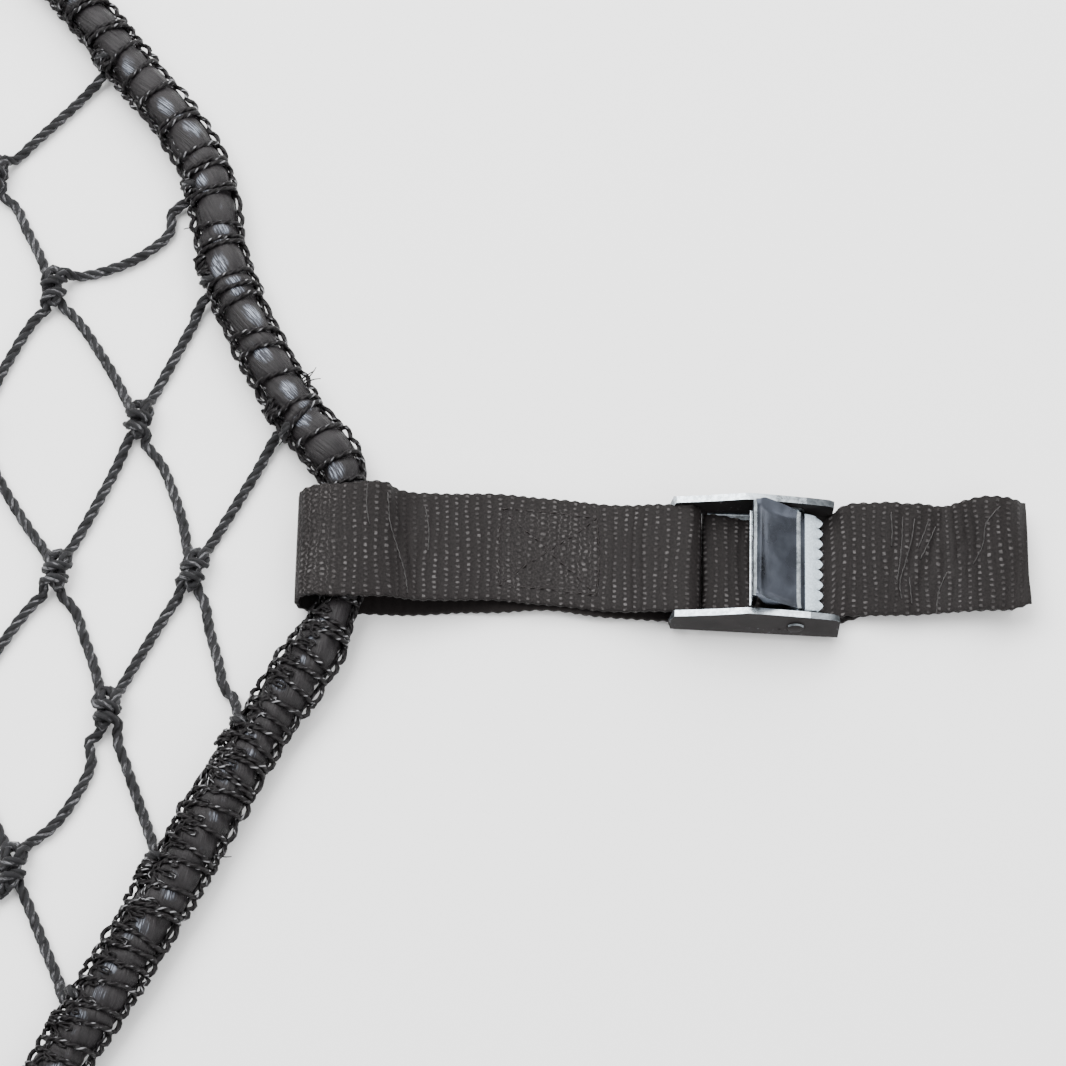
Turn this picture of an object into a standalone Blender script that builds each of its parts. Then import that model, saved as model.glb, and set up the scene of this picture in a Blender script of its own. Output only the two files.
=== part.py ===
"""A small knotted cargo net: square meshes of laid cord inside a rope border, and at each
corner a webbing tab sewn round the rope, a cam buckle and the strap threaded through it.

The net lies flat on the floor, z = 0, with one corner pulled out along +X, so its meshes are
squeezed into tall diamonds there and open out towards the far corner. Lengths are in
millimetres in the tables and become metres where a mesh is made.
"""

import math

import bmesh
import bpy
from mathutils import Matrix, Vector

MM = 0.001

# Driving dimensions. The webbing is the common 25 mm size, and it sets all the others.
WEB_WIDTH = 25.0
WEB_THICK = 1.2
CLEAR = 0.3  # space kept between touching pieces
CELLS = 11  # meshes along each side
MESH_BAR = 38.0  # knot to knot
CORD = 2.6  # cord thickness
ROPE_WIDTH = 11.8  # border rope with its oversewing, across
ROPE_HEIGHT = 9.8

# How far each row of bars leans from the pull direction, degrees, from the pulled corner
# outwards: one value per bar along the upper side (U) and along the lower side (V).
U_LEAN = (24, 23, 32, 34, 36, 38, 40, 43, 46, 49, 51)
V_LEAN = (31, 26, 29, 32, 35, 38, 40, 43, 46, 49, 51)

# Where the net lies off that even grid near the pulled corner: place on the grid, shift in x and y
SHIFTS = {
    (1, 0): (-1.0, 4.4),
    (2, 0): (-3.2, 6.2),
    (3, 0): (12.8, -5.6),
    (4, 0): (12.0, -3.0),
    (5, 0): (9.0, -1.0),
    (6, 0): (5.5, 0.0),
    (7, 0): (2.0, 0.0),
    (3, 1): (-0.8, 1.2),
    (4, 1): (5.0, -1.0),
    (5, 1): (4.0, 0.0),
    (6, 1): (2.0, 0.0),
    (4, 2): (1.5, 0.0),
    (0, 1): (-3.1, -6.8),
    (0, 2): (-1.9, -2.7),
    (1, 1): (-0.9, -0.8),
    (1, 2): (-1.2, 1.2),
    (2, 2): (1.1, -2.1),
}

# Net
KNOT_REACH = 4.2  # centre of a knot to where its bars start
KNOT_HEIGHT = 5.4
KNOT_CROWN = 0.78  # top of a knot as a share of its foot
BAR_SLACK = 0.9  # how far a bar may bow sideways
BOW_BEAT = {"u": (2.3, 3.7, 1.4), "v": (2.3, 3.7, 0.0)}  # how the bow varies with u and v, and its start
BAR_BOWS = {  # bars that bow by their own amount: way they run, u, v, bow at the middle
    ("v", 3, 0): 5.0,
    ("v", 1, 2): 3.6,
    ("u", 0, 1): 0.8,
    ("u", 0, 2): 0.0,
    ("u", 1, 1): -1.5,
    ("u", 2, 1): -0.8,
    ("u", 1, 2): -0.6,
    ("v", 1, 0): 0.2,
    ("v", 2, 0): 0.3,
    ("v", 2, 1): 0.4,
    ("u", 7, 3): 3.0,
    ("v", 6, 8): -3.0,
}
LASHING = 0.3  # the lashing's bulge on the rope's inner edge
BORDER_SPACE = ROPE_WIDTH / 2 + LASHING + CLEAR

# Border rope
BORDER_STEP = 12.0
BEND_RADIUS = 38.0  # most that the rope's bend inside a tab may open to
BEND_SHARE = 0.95  # length of a bar taken up by that bend
HELD_PLACES = (-14.2, -7.0, 0.0, 7.0, 14.2)  # stations across the strap where the tab holds the rope
TAB_SQUEEZE = 0.80  # rope size there, where nothing is sewn over it
OUTER_LIFT, OUTER_SIZE = 0.7, 0.93  # the same at the ends of the bend
ROPE_LUMP = 0.035  # how much the oversewing swells and pinches the rope
LUMP_BEAT = 2.4  # how fast the lumps come and go from one section to the next
FLOOR_LIFT = 0.1  # the rope is lumpy only where it lies lower than this
ROPE_SIDES = 8

# Corners: node prefix, grid place as shares of the net, distance pulled outwards,
# distance slid sideways, and turn of the strap
CORNERS = (
    ("right", 0, 0, 2.4, 4.1, 1.5),
    ("top", 1, 0, 0.0, 0.0, -2.0),
    ("left", 1, 1, 0.0, 0.0, 3.0),
    ("bottom", 0, 1, 0.0, 0.0, -1.0),
)

# Heights in a corner, from the floor up
ROPE_LIFT = WEB_THICK + CLEAR
BAR_X, BAR_Z, BAR_RADIUS = 71.4, 4.8, 2.0
BASE_REAR, BASE_FRONT = 77.5, 104.0
BASE_LOW = WEB_THICK + CLEAR
BASE_THICK = 1.2
STRAP_OVER = BASE_LOW + BASE_THICK + CLEAR + WEB_THICK / 2  # middle of the strap on the base
WALL = 1.2
WALL_INNER = WEB_WIDTH / 2 + CLEAR
WALL_OUTER = WALL_INNER + WALL
PLATE_REAR, PLATE_FRONT = 68.5, 103.6
FOLD_X = BASE_REAR - 0.6  # middle of the strap's turn round the base's rear edge
BAR_TURN = (120, -110, 7)  # first and last angle of the tab's turn round the bar, and its steps
FOLD_TURN = (-90, -270, 6)

# Cutters run past what they cut, and the channel's is open at its top
CUT_PAST = 5.0
CUT_TOP = 20.0
ROD_SIDES, PIN_SIDES = 12, 10
SHARP_ANGLE = 30  # edges of hard pieces sharper than this, in degrees, stay crisp

# Side wall outline, x and z
WALL_SHAPE = (
    (PLATE_REAR, 2.2),
    (PLATE_REAR, 4.6),
    (69.7, 8.6),
    (77.2, 10.0),
    (82.5, 11.2),
    (84.2, 11.6),
    (87.5, 11.35),
    (98.0, 10.0),
    (PLATE_FRONT - 1.0, 8.7),
    (PLATE_FRONT, 7.7),
    (PLATE_FRONT, BASE_LOW),
    (PLATE_REAR + 1.4, BASE_LOW),
)

# Cam lever, its pivot and its outline about the pivot
PIVOT_X, PIVOT_Z, PIN_RADIUS, PIN_CLEAR = 94.9, 6.4, 1.1, 0.3
PIN_HEAD_RADIUS, PIN_HEAD = 1.9, 0.9
LEVER_HALF = 11.75
TEETH = 9
TOOTH_DEPTH = 1.1
LEVER_SHAPE = (  # x, z, and 1 where the outline follows the teeth; the flap hangs from the rear edge
    (-8.8, 8.8, 0),
    (-9.7, 8.0, 0),
    (-9.6, 0.9, 0),
    (-8.6, 0.9, 0),
    (-8.5, 6.6, 0),
    (-3.6, 2.9, 0),
    (-2.3, 0.8, 0),
    (-1.6, -1.3, 0),
    (0.0, -1.85, 0),
    (2.3, -1.1, 0),
    (6.1, -1.8, 1),
    (6.4, -1.0, 1),
    (2.2, 0.9, 0),
)

# Middle of the tab's webbing, seen from the side: x, z, how far its far edge runs ahead of the
# near one, how much higher it lies, and how far the band has drifted sideways
TAB_SHAPE = (
    (-10.9, 5.3, 0.3, 0.0, 0.0),
    (-10.1, 8.2, 0.3, 0.0, 0.0),
    (-7.6, 10.7, 0.0, 1.4, 0.0),
    (-4.0, 11.6, 0.0, 2.0, 0.0),
    (1.0, 12.0, -0.5, 2.4, 0.0),
    (5.6, 11.9, -1.2, 2.8, 0.0),
    (9.4, 10.2, -1.8, 2.4, 0.4),
    (12.0, 7.7, -1.8, 1.2, 0.8),
    (17.5, 6.4, -1.2, 0.0, 1.4),
    (24.0, 5.4, -0.6, 0.0, 1.9),
    (31.0, 4.3, 0.0, 0.0, 2.5),
    (42.0, 3.7, 0.0, 0.0, 2.2),
    (53.0, 3.7, 0.0, 0.0, 1.2),
    (58.5, 4.7, 0.5, 0.0, 0.8),
    (64.0, 6.8, 0.5, 0.0, 0.2),
)
TAB_FOOT = (  # the same under the rope and the stitched part, on the way back
    (64.0, 1.6, 0.0, 0.0, 0.2),
    (53.0, 2.2, 0.0, 0.0, 0.6),
    (42.0, 2.1, 0.0, 0.0, 1.5),
    (30.0, 1.4, 0.0, 0.0, 1.0),
    (14.0, 0.6, 0.0, 0.0, 0.2),
    (-5.0, 0.6, 0.0, 0.0, 0.0),
    (-8.6, 1.4, 0.0, 0.0, 0.0),
    (-10.3, 3.0, 0.0, 0.0, 0.0),
)
BAR_WRAP = BAR_RADIUS + CLEAR + WEB_THICK / 2

# The strap beyond the buckle: its loaded layer along the floor, and its free tail above
LOADED_SHAPE = (
    (142.0, WEB_THICK / 2, 0.0, 0.0, 5.2),
    (124.0, WEB_THICK / 2, 0.0, 0.0, 3.7),
    (110.0, WEB_THICK / 2, 0.0, 0.0, 1.7),
    (104.0, WEB_THICK / 2, 0.0, 0.0, 0.2),
    (90.0, WEB_THICK / 2, 0.0, 0.0, 0.0),
)
TAIL_SHAPE = (
    (104.5, STRAP_OVER, 0.0, 0.0, 0.2),
    (110.0, 3.6, 0.0, 0.6, 1.8),
    (116.0, 5.2, 0.4, 1.6, 2.4),
    (122.0, 4.6, 0.0, 0.6, 2.8),
    (128.0, 4.0, -0.6, -0.8, 3.2),
    (132.0, 5.6, -1.0, 1.6, 3.6),
    (136.5, 8.0, -1.0, 4.0, 3.9),
    (140.5, 7.6, -0.4, 3.4, 4.1),
    (144.8, 5.4, 0.0, -2.6, 4.3),
)


def grid_point(u, v):
    """A place on the grid before the net is centred, from the pulled corner's lattice point."""
    x = -MESH_BAR * sum(math.sin(math.radians(a)) for a in U_LEAN[:u])
    x -= MESH_BAR * sum(math.sin(math.radians(a)) for a in V_LEAN[:v])
    y = MESH_BAR * sum(math.cos(math.radians(a)) for a in U_LEAN[:u])
    y -= MESH_BAR * sum(math.cos(math.radians(a)) for a in V_LEAN[:v])
    return Vector((x, y)) + Vector(SHIFTS.get((u, v), (0, 0)))


def turned(point, angle):
    return Vector(
        (
            point[0] * math.cos(angle) - point[1] * math.sin(angle),
            point[0] * math.sin(angle) + point[1] * math.cos(angle),
        )
    )


class Corner:
    """Where a corner's rope bends, which way its strap runs, and how tight the bend is."""

    def __init__(self, u_share, v_share, pull, slide, aim):
        u, v = u_share * CELLS, v_share * CELLS
        lattice = grid_point(u, v)
        along_u = grid_point(u + (1 - 2 * u_share), v) - lattice
        along_v = grid_point(u, v + (1 - 2 * v_share)) - lattice
        outward = -(along_u.normalized() + along_v.normalized()).normalized()
        half = along_u.angle(along_v) / 2
        self.radius = min(BEND_RADIUS, BEND_SHARE * MESH_BAR * math.tan(half))
        self.turn = math.pi / 2 - half
        cut = self.radius * (1 / math.sin(half) - 1) - pull
        sideways = Vector((-outward.y, outward.x))
        self.apex = lattice - outward * cut + sideways * slide
        self.bend_angle = math.atan2(outward.y, outward.x)
        self.angle = self.bend_angle + math.radians(aim)

    def bend_points(self):
        """Points along the rope's arc, from one end to the other: x, y, lift and size."""
        held = [math.asin(y / self.radius) for y in HELD_PLACES]
        for a in (-self.turn, *held, self.turn):
            arc = (-self.radius * (1 - math.cos(a)), self.radius * math.sin(a))
            p = self.apex + turned(arc, self.bend_angle)
            outer = abs(a) == self.turn
            lift, size = (OUTER_LIFT, OUTER_SIZE) if outer else (ROPE_LIFT, TAB_SQUEEZE)
            yield (p.x, p.y, lift, size)

    def matrix(self, centre):
        place = self.apex - centre
        return Matrix.Translation((place.x * MM, place.y * MM, 0)) @ Matrix.Rotation(self.angle, 4, "Z")


def net_centre(corners):
    """The middle of the box round the four strap ends, which becomes the part's origin."""
    tips = [c.apex + turned((TAIL_SHAPE[-1][0], 0), c.angle) for c in corners.values()]
    xs, ys = [t.x for t in tips], [t.y for t in tips]
    return Vector(((min(xs) + max(xs)) / 2, (min(ys) + max(ys)) / 2))


def spline_point(points, i, t):
    """Catmull-Rom through a closed list, between point i and the next."""
    a, b, c, d = (points[(i + k) % len(points)] for k in (-1, 0, 1, 2))
    return tuple(
        0.5 * (2 * q + (r - p) * t + (2 * p - 5 * q + 4 * r - s) * t * t + (3 * q - p - 3 * r + s) * t**3)
        for p, q, r, s in zip(a, b, c, d)
    )


def border_route(corners):
    """Closed route of the rope: x, y, lift and size, anticlockwise from the pulled corner."""
    sides = (
        ("right", [(k, 0) for k in range(1, CELLS)]),
        ("top", [(CELLS, k) for k in range(1, CELLS)]),
        ("left", [(CELLS - k, CELLS) for k in range(1, CELLS)]),
        ("bottom", [(0, CELLS - k) for k in range(1, CELLS)]),
    )
    route = []
    for name, places in sides:
        route += corners[name].bend_points()
        route += [(*grid_point(*place), 0.0, 1.0) for place in places]
    return route


def border_rings(route):
    rings = []
    for i, here in enumerate(route):
        after = route[(i + 1) % len(route)]
        span = math.dist(here[:2], after[:2])
        steps = max(1, round(span / BORDER_STEP))
        rings += [spline_point(route, i, k / steps) for k in range(steps)]
    return rings


def new_object(name, data, matrix=None):
    obj = bpy.data.objects.new(name, data)
    bpy.context.scene.collection.objects.link(obj)
    if matrix is not None:
        obj.matrix_world = matrix
    return obj


def mesh_object(name, bm, look, matrix=None, hard=False):
    bmesh.ops.recalc_face_normals(bm, faces=bm.faces)
    mesh = bpy.data.meshes.new(name)
    bm.to_mesh(mesh)
    bm.free()
    mesh.materials.append(look)
    if hard:
        mesh.shade_smooth()
        mesh.set_sharp_from_angle(angle=math.radians(SHARP_ANGLE))
    return new_object(name, mesh, matrix)


def material(name, color, roughness, metallic=0.0):
    made = bpy.data.materials.new(name)
    made.use_nodes = True
    shader = made.node_tree.nodes["Principled BSDF"]
    shader.inputs["Base Color"].default_value = (*color, 1)
    shader.inputs["Roughness"].default_value = roughness
    shader.inputs["Metallic"].default_value = metallic
    made.diffuse_color = (*color, 1)
    return made


def bow(kind, u, v):
    """How far a bar bows sideways at its middle."""
    if (kind, u, v) in BAR_BOWS:
        return BAR_BOWS[kind, u, v]
    beat_u, beat_v, start = BOW_BEAT[kind]
    return BAR_SLACK * math.sin(beat_u * u + beat_v * v + start)


def across(direction):
    return Vector((-direction.y, direction.x)).normalized() * (CORD / 2)


def section(bm, place, direction):
    """The four corners of a bar's square section, from the floor up."""
    side = across(direction)
    spots = ((place - side, 0), (place + side, 0), (place + side, CORD), (place - side, CORD))
    return [bm.verts.new((p.x * MM, p.y * MM, z * MM)) for p, z in spots]


def join_sections(bm, first, second):
    for k in range(4):
        n = (k + 1) % 4
        bm.faces.new((first[k], first[n], second[n], second[k]))


def border_gap(direction, tangent):
    """Distance along a bar from the rope's middle to where the bar's end clears the rope."""
    sine = abs(direction.normalized().cross(tangent.normalized()))
    cosine = abs(direction.normalized().dot(tangent.normalized()))
    return (BORDER_SPACE + CORD / 2 * cosine) / sine


def build_net(centre, look):
    """Every knot is a low eight-sided lump, and every bar a square cord between two of them."""
    bm = bmesh.new()
    ports = {}
    for u in range(1, CELLS):
        for v in range(1, CELLS):
            here = grid_point(u, v)
            nearby = (("u", u, v, 1), ("v", u, v - 1, -1), ("u", u - 1, v, -1), ("v", u, v, 1))
            ends = ((u + 1, v), (u, v - 1), (u - 1, v), (u, v + 1))
            ring = []
            for key, end in zip(nearby, ends):
                direction = (grid_point(*end) - here).normalized()
                place = here - centre + direction * KNOT_REACH
                # The section is laid out seen along the bar, away from this knot.
                ports[key] = section(bm, place, direction)
                ring.append(ports[key])
            close_knot(bm, ring, here - centre)
    for kind, step in (("u", (1, 0)), ("v", (0, 1))):
        for u in range(CELLS + 1):
            for v in range(CELLS + 1):
                add_bar(bm, ports, kind, u, v, step, centre)
    return mesh_object("net_mesh", bm, look)


def close_knot(bm, ring, middle):
    """Foot, walls between the bars, and a crown drawn in towards the top."""
    foot, brim = [], []
    for low_right, low_left, high_left, high_right in ring:
        foot += [low_left, low_right]
        brim += [high_left, high_right]
    for k in range(len(ring)):
        a, b = 2 * k + 1, (2 * k + 2) % len(foot)
        bm.faces.new((foot[a], foot[b], brim[b], brim[a]))
    bm.faces.new(foot)
    crown = []
    for vert in brim:
        x = middle.x * MM + (vert.co.x - middle.x * MM) * KNOT_CROWN
        y = middle.y * MM + (vert.co.y - middle.y * MM) * KNOT_CROWN
        crown.append(bm.verts.new((x, y, KNOT_HEIGHT * MM)))
    for k in range(len(brim)):
        n = (k + 1) % len(brim)
        bm.faces.new((brim[k], brim[n], crown[n], crown[k]))
    bm.faces.new(crown)


def border_tangent(kind, place):
    """Direction of the rope where a bar of this kind meets it."""
    u, v = place
    if kind == "v":
        return grid_point(u + 1, v) - grid_point(u - 1, v)
    return grid_point(u, v + 1) - grid_point(u, v - 1)


def add_bar(bm, ports, kind, u, v, step, centre):
    start, end = (u, v), (u + step[0], v + step[1])
    on_side = v if kind == "u" else u
    if not 0 < on_side < CELLS or max(end) > CELLS:
        return
    a, b = grid_point(*start) - centre, grid_point(*end) - centre
    run = b - a
    first, last = ports.get((kind, u, v, 1)), ports.get((kind, u, v, -1))
    first_place, last_place = a + run.normalized() * KNOT_REACH, b - run.normalized() * KNOT_REACH
    if first is None:
        first_place = a + run.normalized() * border_gap(run, border_tangent(kind, start))
        first = section(bm, first_place, run)
        bm.faces.new(first)
    if last is None:
        last_place = b - run.normalized() * border_gap(run, border_tangent(kind, end))
        last = section(bm, last_place, -run)
        bm.faces.new(last)
    middle = (first_place + last_place) / 2 + across(run).normalized() * bow(kind, u, v)
    between = section(bm, middle, run)
    join_sections(bm, first, between)
    # The far port is laid out seen the other way, so its two sides are swapped.
    join_sections(bm, between, [last[1], last[0], last[3], last[2]])


def build_border(corners, centre, look):
    """The rope as a closed curve with a flat-footed eight-sided section."""
    rings = border_rings(border_route(corners))
    outline = bpy.data.curves.new("rope_section", "CURVE")
    outline.dimensions = "2D"
    spline = outline.splines.new("POLY")
    spline.points.add(ROPE_SIDES - 1)
    for k, point in enumerate(spline.points):
        a = -2 * math.pi * (k + 0.5) / ROPE_SIDES
        reach = MM / (2 * math.cos(math.pi / ROPE_SIDES))
        point.co = (ROPE_WIDTH * math.cos(a) * reach, ROPE_HEIGHT * math.sin(a) * reach, 0, 1)
    spline.use_cyclic_u = True
    guide = new_object("rope_section", outline)
    guide.hide_render = True
    guide.display_type = "WIRE"

    curve = bpy.data.curves.new("border_rope", "CURVE")
    curve.dimensions = "3D"
    curve.twist_mode = "Z_UP"
    curve.bevel_mode = "OBJECT"
    curve.bevel_object = guide
    spline = curve.splines.new("POLY")
    spline.points.add(len(rings) - 1)
    for k, (x, y, lift, size) in enumerate(rings):
        size += ROPE_LUMP * math.sin(LUMP_BEAT * k) if lift < FLOOR_LIFT else 0.0
        z = max(0.0, lift) + size * ROPE_HEIGHT / 2
        spline.points[k].co = ((x - centre.x) * MM, (y - centre.y) * MM, z * MM, 1)
        spline.points[k].radius = size
    spline.use_cyclic_u = True
    curve.materials.append(look)
    return new_object("border_rope", curve)


def webbing(name, path, look, matrix, closed):
    """A band of webbing from its path in side view: rows as in TAB_SHAPE."""
    bm = bmesh.new()
    near = [bm.verts.new((k, 0, 0)) for k in range(len(path))]
    pairs = list(zip(near, near[1:] + near[:1]))
    edges = [bm.edges.new(pair) for pair in (pairs if closed else pairs[:-1])]
    grown = bmesh.ops.extrude_edge_only(bm, edges=edges)["geom"]
    far = [g for g in grown if isinstance(g, bmesh.types.BMVert)]
    for verts, side in ((near, -1), (far, 1)):
        for vert in verts:
            x, z, lead, lift, drift = path[round(vert.co.x)]
            y = drift + side * WEB_WIDTH / 2
            vert.co = Vector((x + side * lead / 2, y, z + side * lift / 2)) * MM
    obj = mesh_object(name, bm, look, matrix)
    solid = obj.modifiers.new("thickness", "SOLIDIFY")
    solid.thickness = WEB_THICK * MM
    solid.offset = 0
    solid.use_even_offset = True
    return obj


def arc(x, z, radius, start, end, steps):
    """Path rows on an arc, angles in degrees from +X towards +Z."""
    for k in range(steps + 1):
        a = math.radians(start + (end - start) * k / steps)
        yield (x + radius * math.cos(a), z + radius * math.sin(a), 0.0, 0.0, 0.0)


def tab_path():
    return [*TAB_SHAPE, *arc(BAR_X, BAR_Z, BAR_WRAP, *BAR_TURN), *TAB_FOOT]


def strap_path():
    middle = (WEB_THICK / 2 + STRAP_OVER) / 2
    return [*LOADED_SHAPE, *arc(FOLD_X, middle, STRAP_OVER - middle, *FOLD_TURN), *TAIL_SHAPE]


def extruded_outline(name, outline, half_width, look, matrix):
    """A side-view outline of (x, z) carried across from -half_width to half_width."""
    bm = bmesh.new()
    face = bm.faces.new([bm.verts.new((x * MM, -half_width * MM, z * MM)) for x, z in outline])
    grown = bmesh.ops.extrude_face_region(bm, geom=[face])["geom"]
    moved = [g for g in grown if isinstance(g, bmesh.types.BMVert)]
    bmesh.ops.translate(bm, verts=moved, vec=(0, 2 * half_width * MM, 0))
    return mesh_object(name, bm, look, matrix, hard=True)


def cut(obj, cutter):
    cutter.hide_render = True
    cutter.display_type = "WIRE"
    modifier = obj.modifiers.new(cutter.name, "BOOLEAN")
    modifier.operation = "DIFFERENCE"
    modifier.solver = "EXACT"
    modifier.object = cutter


def box_cutter(name, low, high, look, matrix):
    bm = bmesh.new()
    bmesh.ops.create_cube(bm, size=1)
    for vert in bm.verts:
        vert.co = Vector(
            (low[k] + (high[k] - low[k]) * (vert.co[k] + 0.5)) * MM for k in range(3)
        )
    return mesh_object(name, bm, look, matrix)


def rod(name, x, z, radius, half_length, look, matrix):
    bm = bmesh.new()
    turn = Matrix.Translation((x * MM, 0, z * MM)) @ Matrix.Rotation(math.pi / 2, 4, "X")
    bmesh.ops.create_cone(
        bm,
        cap_ends=True,
        segments=ROD_SIDES,
        radius1=radius * MM,
        radius2=radius * MM,
        depth=2 * half_length * MM,
        matrix=turn,
    )
    return mesh_object(name, bm, look, matrix, hard=True)


def build_frame(name, look, matrix):
    """The buckle's bent sheet: a base between two side walls that run on to the rear bar."""
    frame = extruded_outline(name, WALL_SHAPE, WALL_OUTER, look, matrix)
    rear = PLATE_REAR - CUT_PAST
    channel = (rear, -WALL_INNER, BASE_LOW + BASE_THICK), (BASE_FRONT + CUT_PAST, WALL_INNER, CUT_TOP)
    cut(frame, box_cutter(name + "_channel", *channel, look, matrix))
    slot = (rear, -WALL_INNER, -CUT_PAST), (BASE_REAR, WALL_INNER, CUT_TOP)
    cut(frame, box_cutter(name + "_slot", *slot, look, matrix))
    hole = (PIVOT_X, PIVOT_Z, PIN_RADIUS + PIN_CLEAR, WALL_OUTER + CUT_PAST)
    cut(frame, rod(name + "_pin_hole", *hole, look, matrix))
    return frame


def build_pin(name, look, matrix):
    """The pivot with a round head outside each wall, turned about its own axis."""
    face = WALL_OUTER + CLEAR
    profile = (
        (0.0, -face - PIN_HEAD),
        (PIN_HEAD_RADIUS, -face - PIN_HEAD),
        (PIN_HEAD_RADIUS, -face),
        (PIN_RADIUS, -face),
        (PIN_RADIUS, face),
        (PIN_HEAD_RADIUS, face),
        (PIN_HEAD_RADIUS, face + PIN_HEAD),
        (0.0, face + PIN_HEAD),
    )
    bm = bmesh.new()
    verts = [bm.verts.new((r * MM, y * MM, 0)) for r, y in profile]
    edges = [bm.edges.new(pair) for pair in zip(verts, verts[1:])]
    bmesh.ops.spin(
        bm,
        geom=verts + edges,
        cent=(0, 0, 0),
        axis=(0, 1, 0),
        angle=2 * math.pi,
        steps=PIN_SIDES,
        use_merge=True,
    )
    bmesh.ops.remove_doubles(bm, verts=bm.verts, dist=1e-6)
    place = matrix @ Matrix.Translation((PIVOT_X * MM, 0, PIVOT_Z * MM))
    return mesh_object(name, bm, look, place, hard=True)


def build_lever(name, look, matrix):
    """The cam lever, laid out across its width tooth by tooth, with its origin on the pivot."""
    place = matrix @ Matrix.Translation((PIVOT_X * MM, 0, PIVOT_Z * MM))
    bm = bmesh.new()
    stations = 2 * TEETH + 1
    loops = []
    for k in range(stations):
        y = LEVER_HALF * (2 * k / (stations - 1) - 1)
        back = TOOTH_DEPTH if k % 2 == 0 else 0.0
        loops.append([bm.verts.new(((x - back * t) * MM, y * MM, z * MM)) for x, z, t in LEVER_SHAPE])
    for first, second in zip(loops, loops[1:]):
        for k in range(len(first)):
            n = (k + 1) % len(first)
            bm.faces.new((first[k], first[n], second[n], second[k]))
    bm.faces.new(loops[0])
    bm.faces.new(loops[-1])
    lever = mesh_object(name, bm, look, place, hard=True)
    hole = (0, 0, PIN_RADIUS + PIN_CLEAR, LEVER_HALF + CUT_PAST)
    cut(lever, rod(name + "_pin_hole", *hole, look, place))
    return lever


def main():
    for obj in list(bpy.data.objects):
        bpy.data.objects.remove(obj)
    woven = material("webbing", (0.022, 0.020, 0.020), 0.75)
    plated = material("plated steel", (0.62, 0.65, 0.68), 0.3, 1.0)
    pin_steel = material("pin steel", (0.35, 0.36, 0.38), 0.4, 1.0)
    lever_steel = material("lever steel", (0.40, 0.45, 0.52), 0.35, 1.0)
    corners = {name: Corner(*row) for name, *row in CORNERS}
    centre = net_centre(corners)
    build_net(centre, material("laid cord", (0.028, 0.027, 0.028), 0.5))
    build_border(corners, centre, material("border rope", (0.035, 0.034, 0.037), 0.4))
    for name, corner in corners.items():
        matrix = corner.matrix(centre)
        webbing(name + "_webbing_tab", tab_path(), woven, matrix, closed=True)
        webbing(name + "_threaded_strap", strap_path(), woven, matrix, closed=False)
        rod(name + "_rear_bar", BAR_X, BAR_Z, BAR_RADIUS, WALL_INNER - CLEAR, plated, matrix)
        build_frame(name + "_buckle_frame", plated, matrix)
        build_pin(name + "_pivot_pin", pin_steel, matrix)
        build_lever(name + "_cam_lever", lever_steel, matrix)


main()
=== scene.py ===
"""Looks for a small knotted cargo net with a rope border and a cam buckle at each corner.

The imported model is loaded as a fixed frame. Laid cord, oversewn rope, ribbed webbing and the
bent sheet buckles are then modelled where its solids lie. Lengths are in millimetres in the
tables and settings, and become metres where a mesh is made.
"""

import random
from bisect import bisect_right
from math import asin, atan2, ceil, copysign, cos, dist, exp, hypot, pi, radians, sin, sqrt, tan

import bmesh
import bpy
from bpy.props import FloatProperty, FloatVectorProperty, IntProperty, PointerProperty
from mathutils import Matrix, Vector


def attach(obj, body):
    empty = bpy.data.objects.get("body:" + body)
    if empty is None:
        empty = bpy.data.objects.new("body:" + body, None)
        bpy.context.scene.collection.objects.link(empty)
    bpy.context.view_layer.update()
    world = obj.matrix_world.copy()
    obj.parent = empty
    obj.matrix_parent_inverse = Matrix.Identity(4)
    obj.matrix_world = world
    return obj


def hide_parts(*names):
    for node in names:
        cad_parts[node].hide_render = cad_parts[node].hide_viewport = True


bl_info = {
    "name": "Cargo Net Maker",
    "version": (1, 0, 0),
    "blender": (4, 5, 0),
    "location": "View3D > Sidebar > Cargo Net",
    "description": "Builds a knotted cargo net with corner straps and cam buckles",
    "category": "Add Mesh",
}

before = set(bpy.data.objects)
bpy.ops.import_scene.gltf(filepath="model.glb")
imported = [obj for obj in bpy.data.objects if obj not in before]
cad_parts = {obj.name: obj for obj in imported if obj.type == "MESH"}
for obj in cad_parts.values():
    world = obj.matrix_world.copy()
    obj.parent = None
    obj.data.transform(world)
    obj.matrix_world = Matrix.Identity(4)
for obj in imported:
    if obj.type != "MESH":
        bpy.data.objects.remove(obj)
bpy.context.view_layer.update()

MM = 0.001

# The layout below repeats the tables that the solids were made from.
WEB_WIDTH = 25.0
WEB_THICK = 1.2
CLEAR = 0.3
CELLS = 11
MESH_BAR = 38.0
ROPE_HEIGHT = 9.8
# Degrees that the bars lean, from row to row, along the net's two ways
U_LEAN = (24, 23, 32, 34, 36, 38, 40, 43, 46, 49, 51)
V_LEAN = (31, 26, 29, 32, 35, 38, 40, 43, 46, 49, 51)
# Knots that are pulled off the lattice
SHIFTS = {
    (1, 0): (-1.0, 4.4),
    (2, 0): (-3.2, 6.2),
    (3, 0): (12.8, -5.6),
    (4, 0): (12.0, -3.0),
    (5, 0): (9.0, -1.0),
    (6, 0): (5.5, 0.0),
    (7, 0): (2.0, 0.0),
    (3, 1): (-0.8, 1.2),
    (4, 1): (5.0, -1.0),
    (5, 1): (4.0, 0.0),
    (6, 1): (2.0, 0.0),
    (4, 2): (1.5, 0.0),
    (0, 1): (-3.1, -6.8),
    (0, 2): (-1.9, -2.7),
    (1, 1): (-0.9, -0.8),
    (1, 2): (-1.2, 1.2),
    (2, 2): (1.1, -2.1),
}
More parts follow.
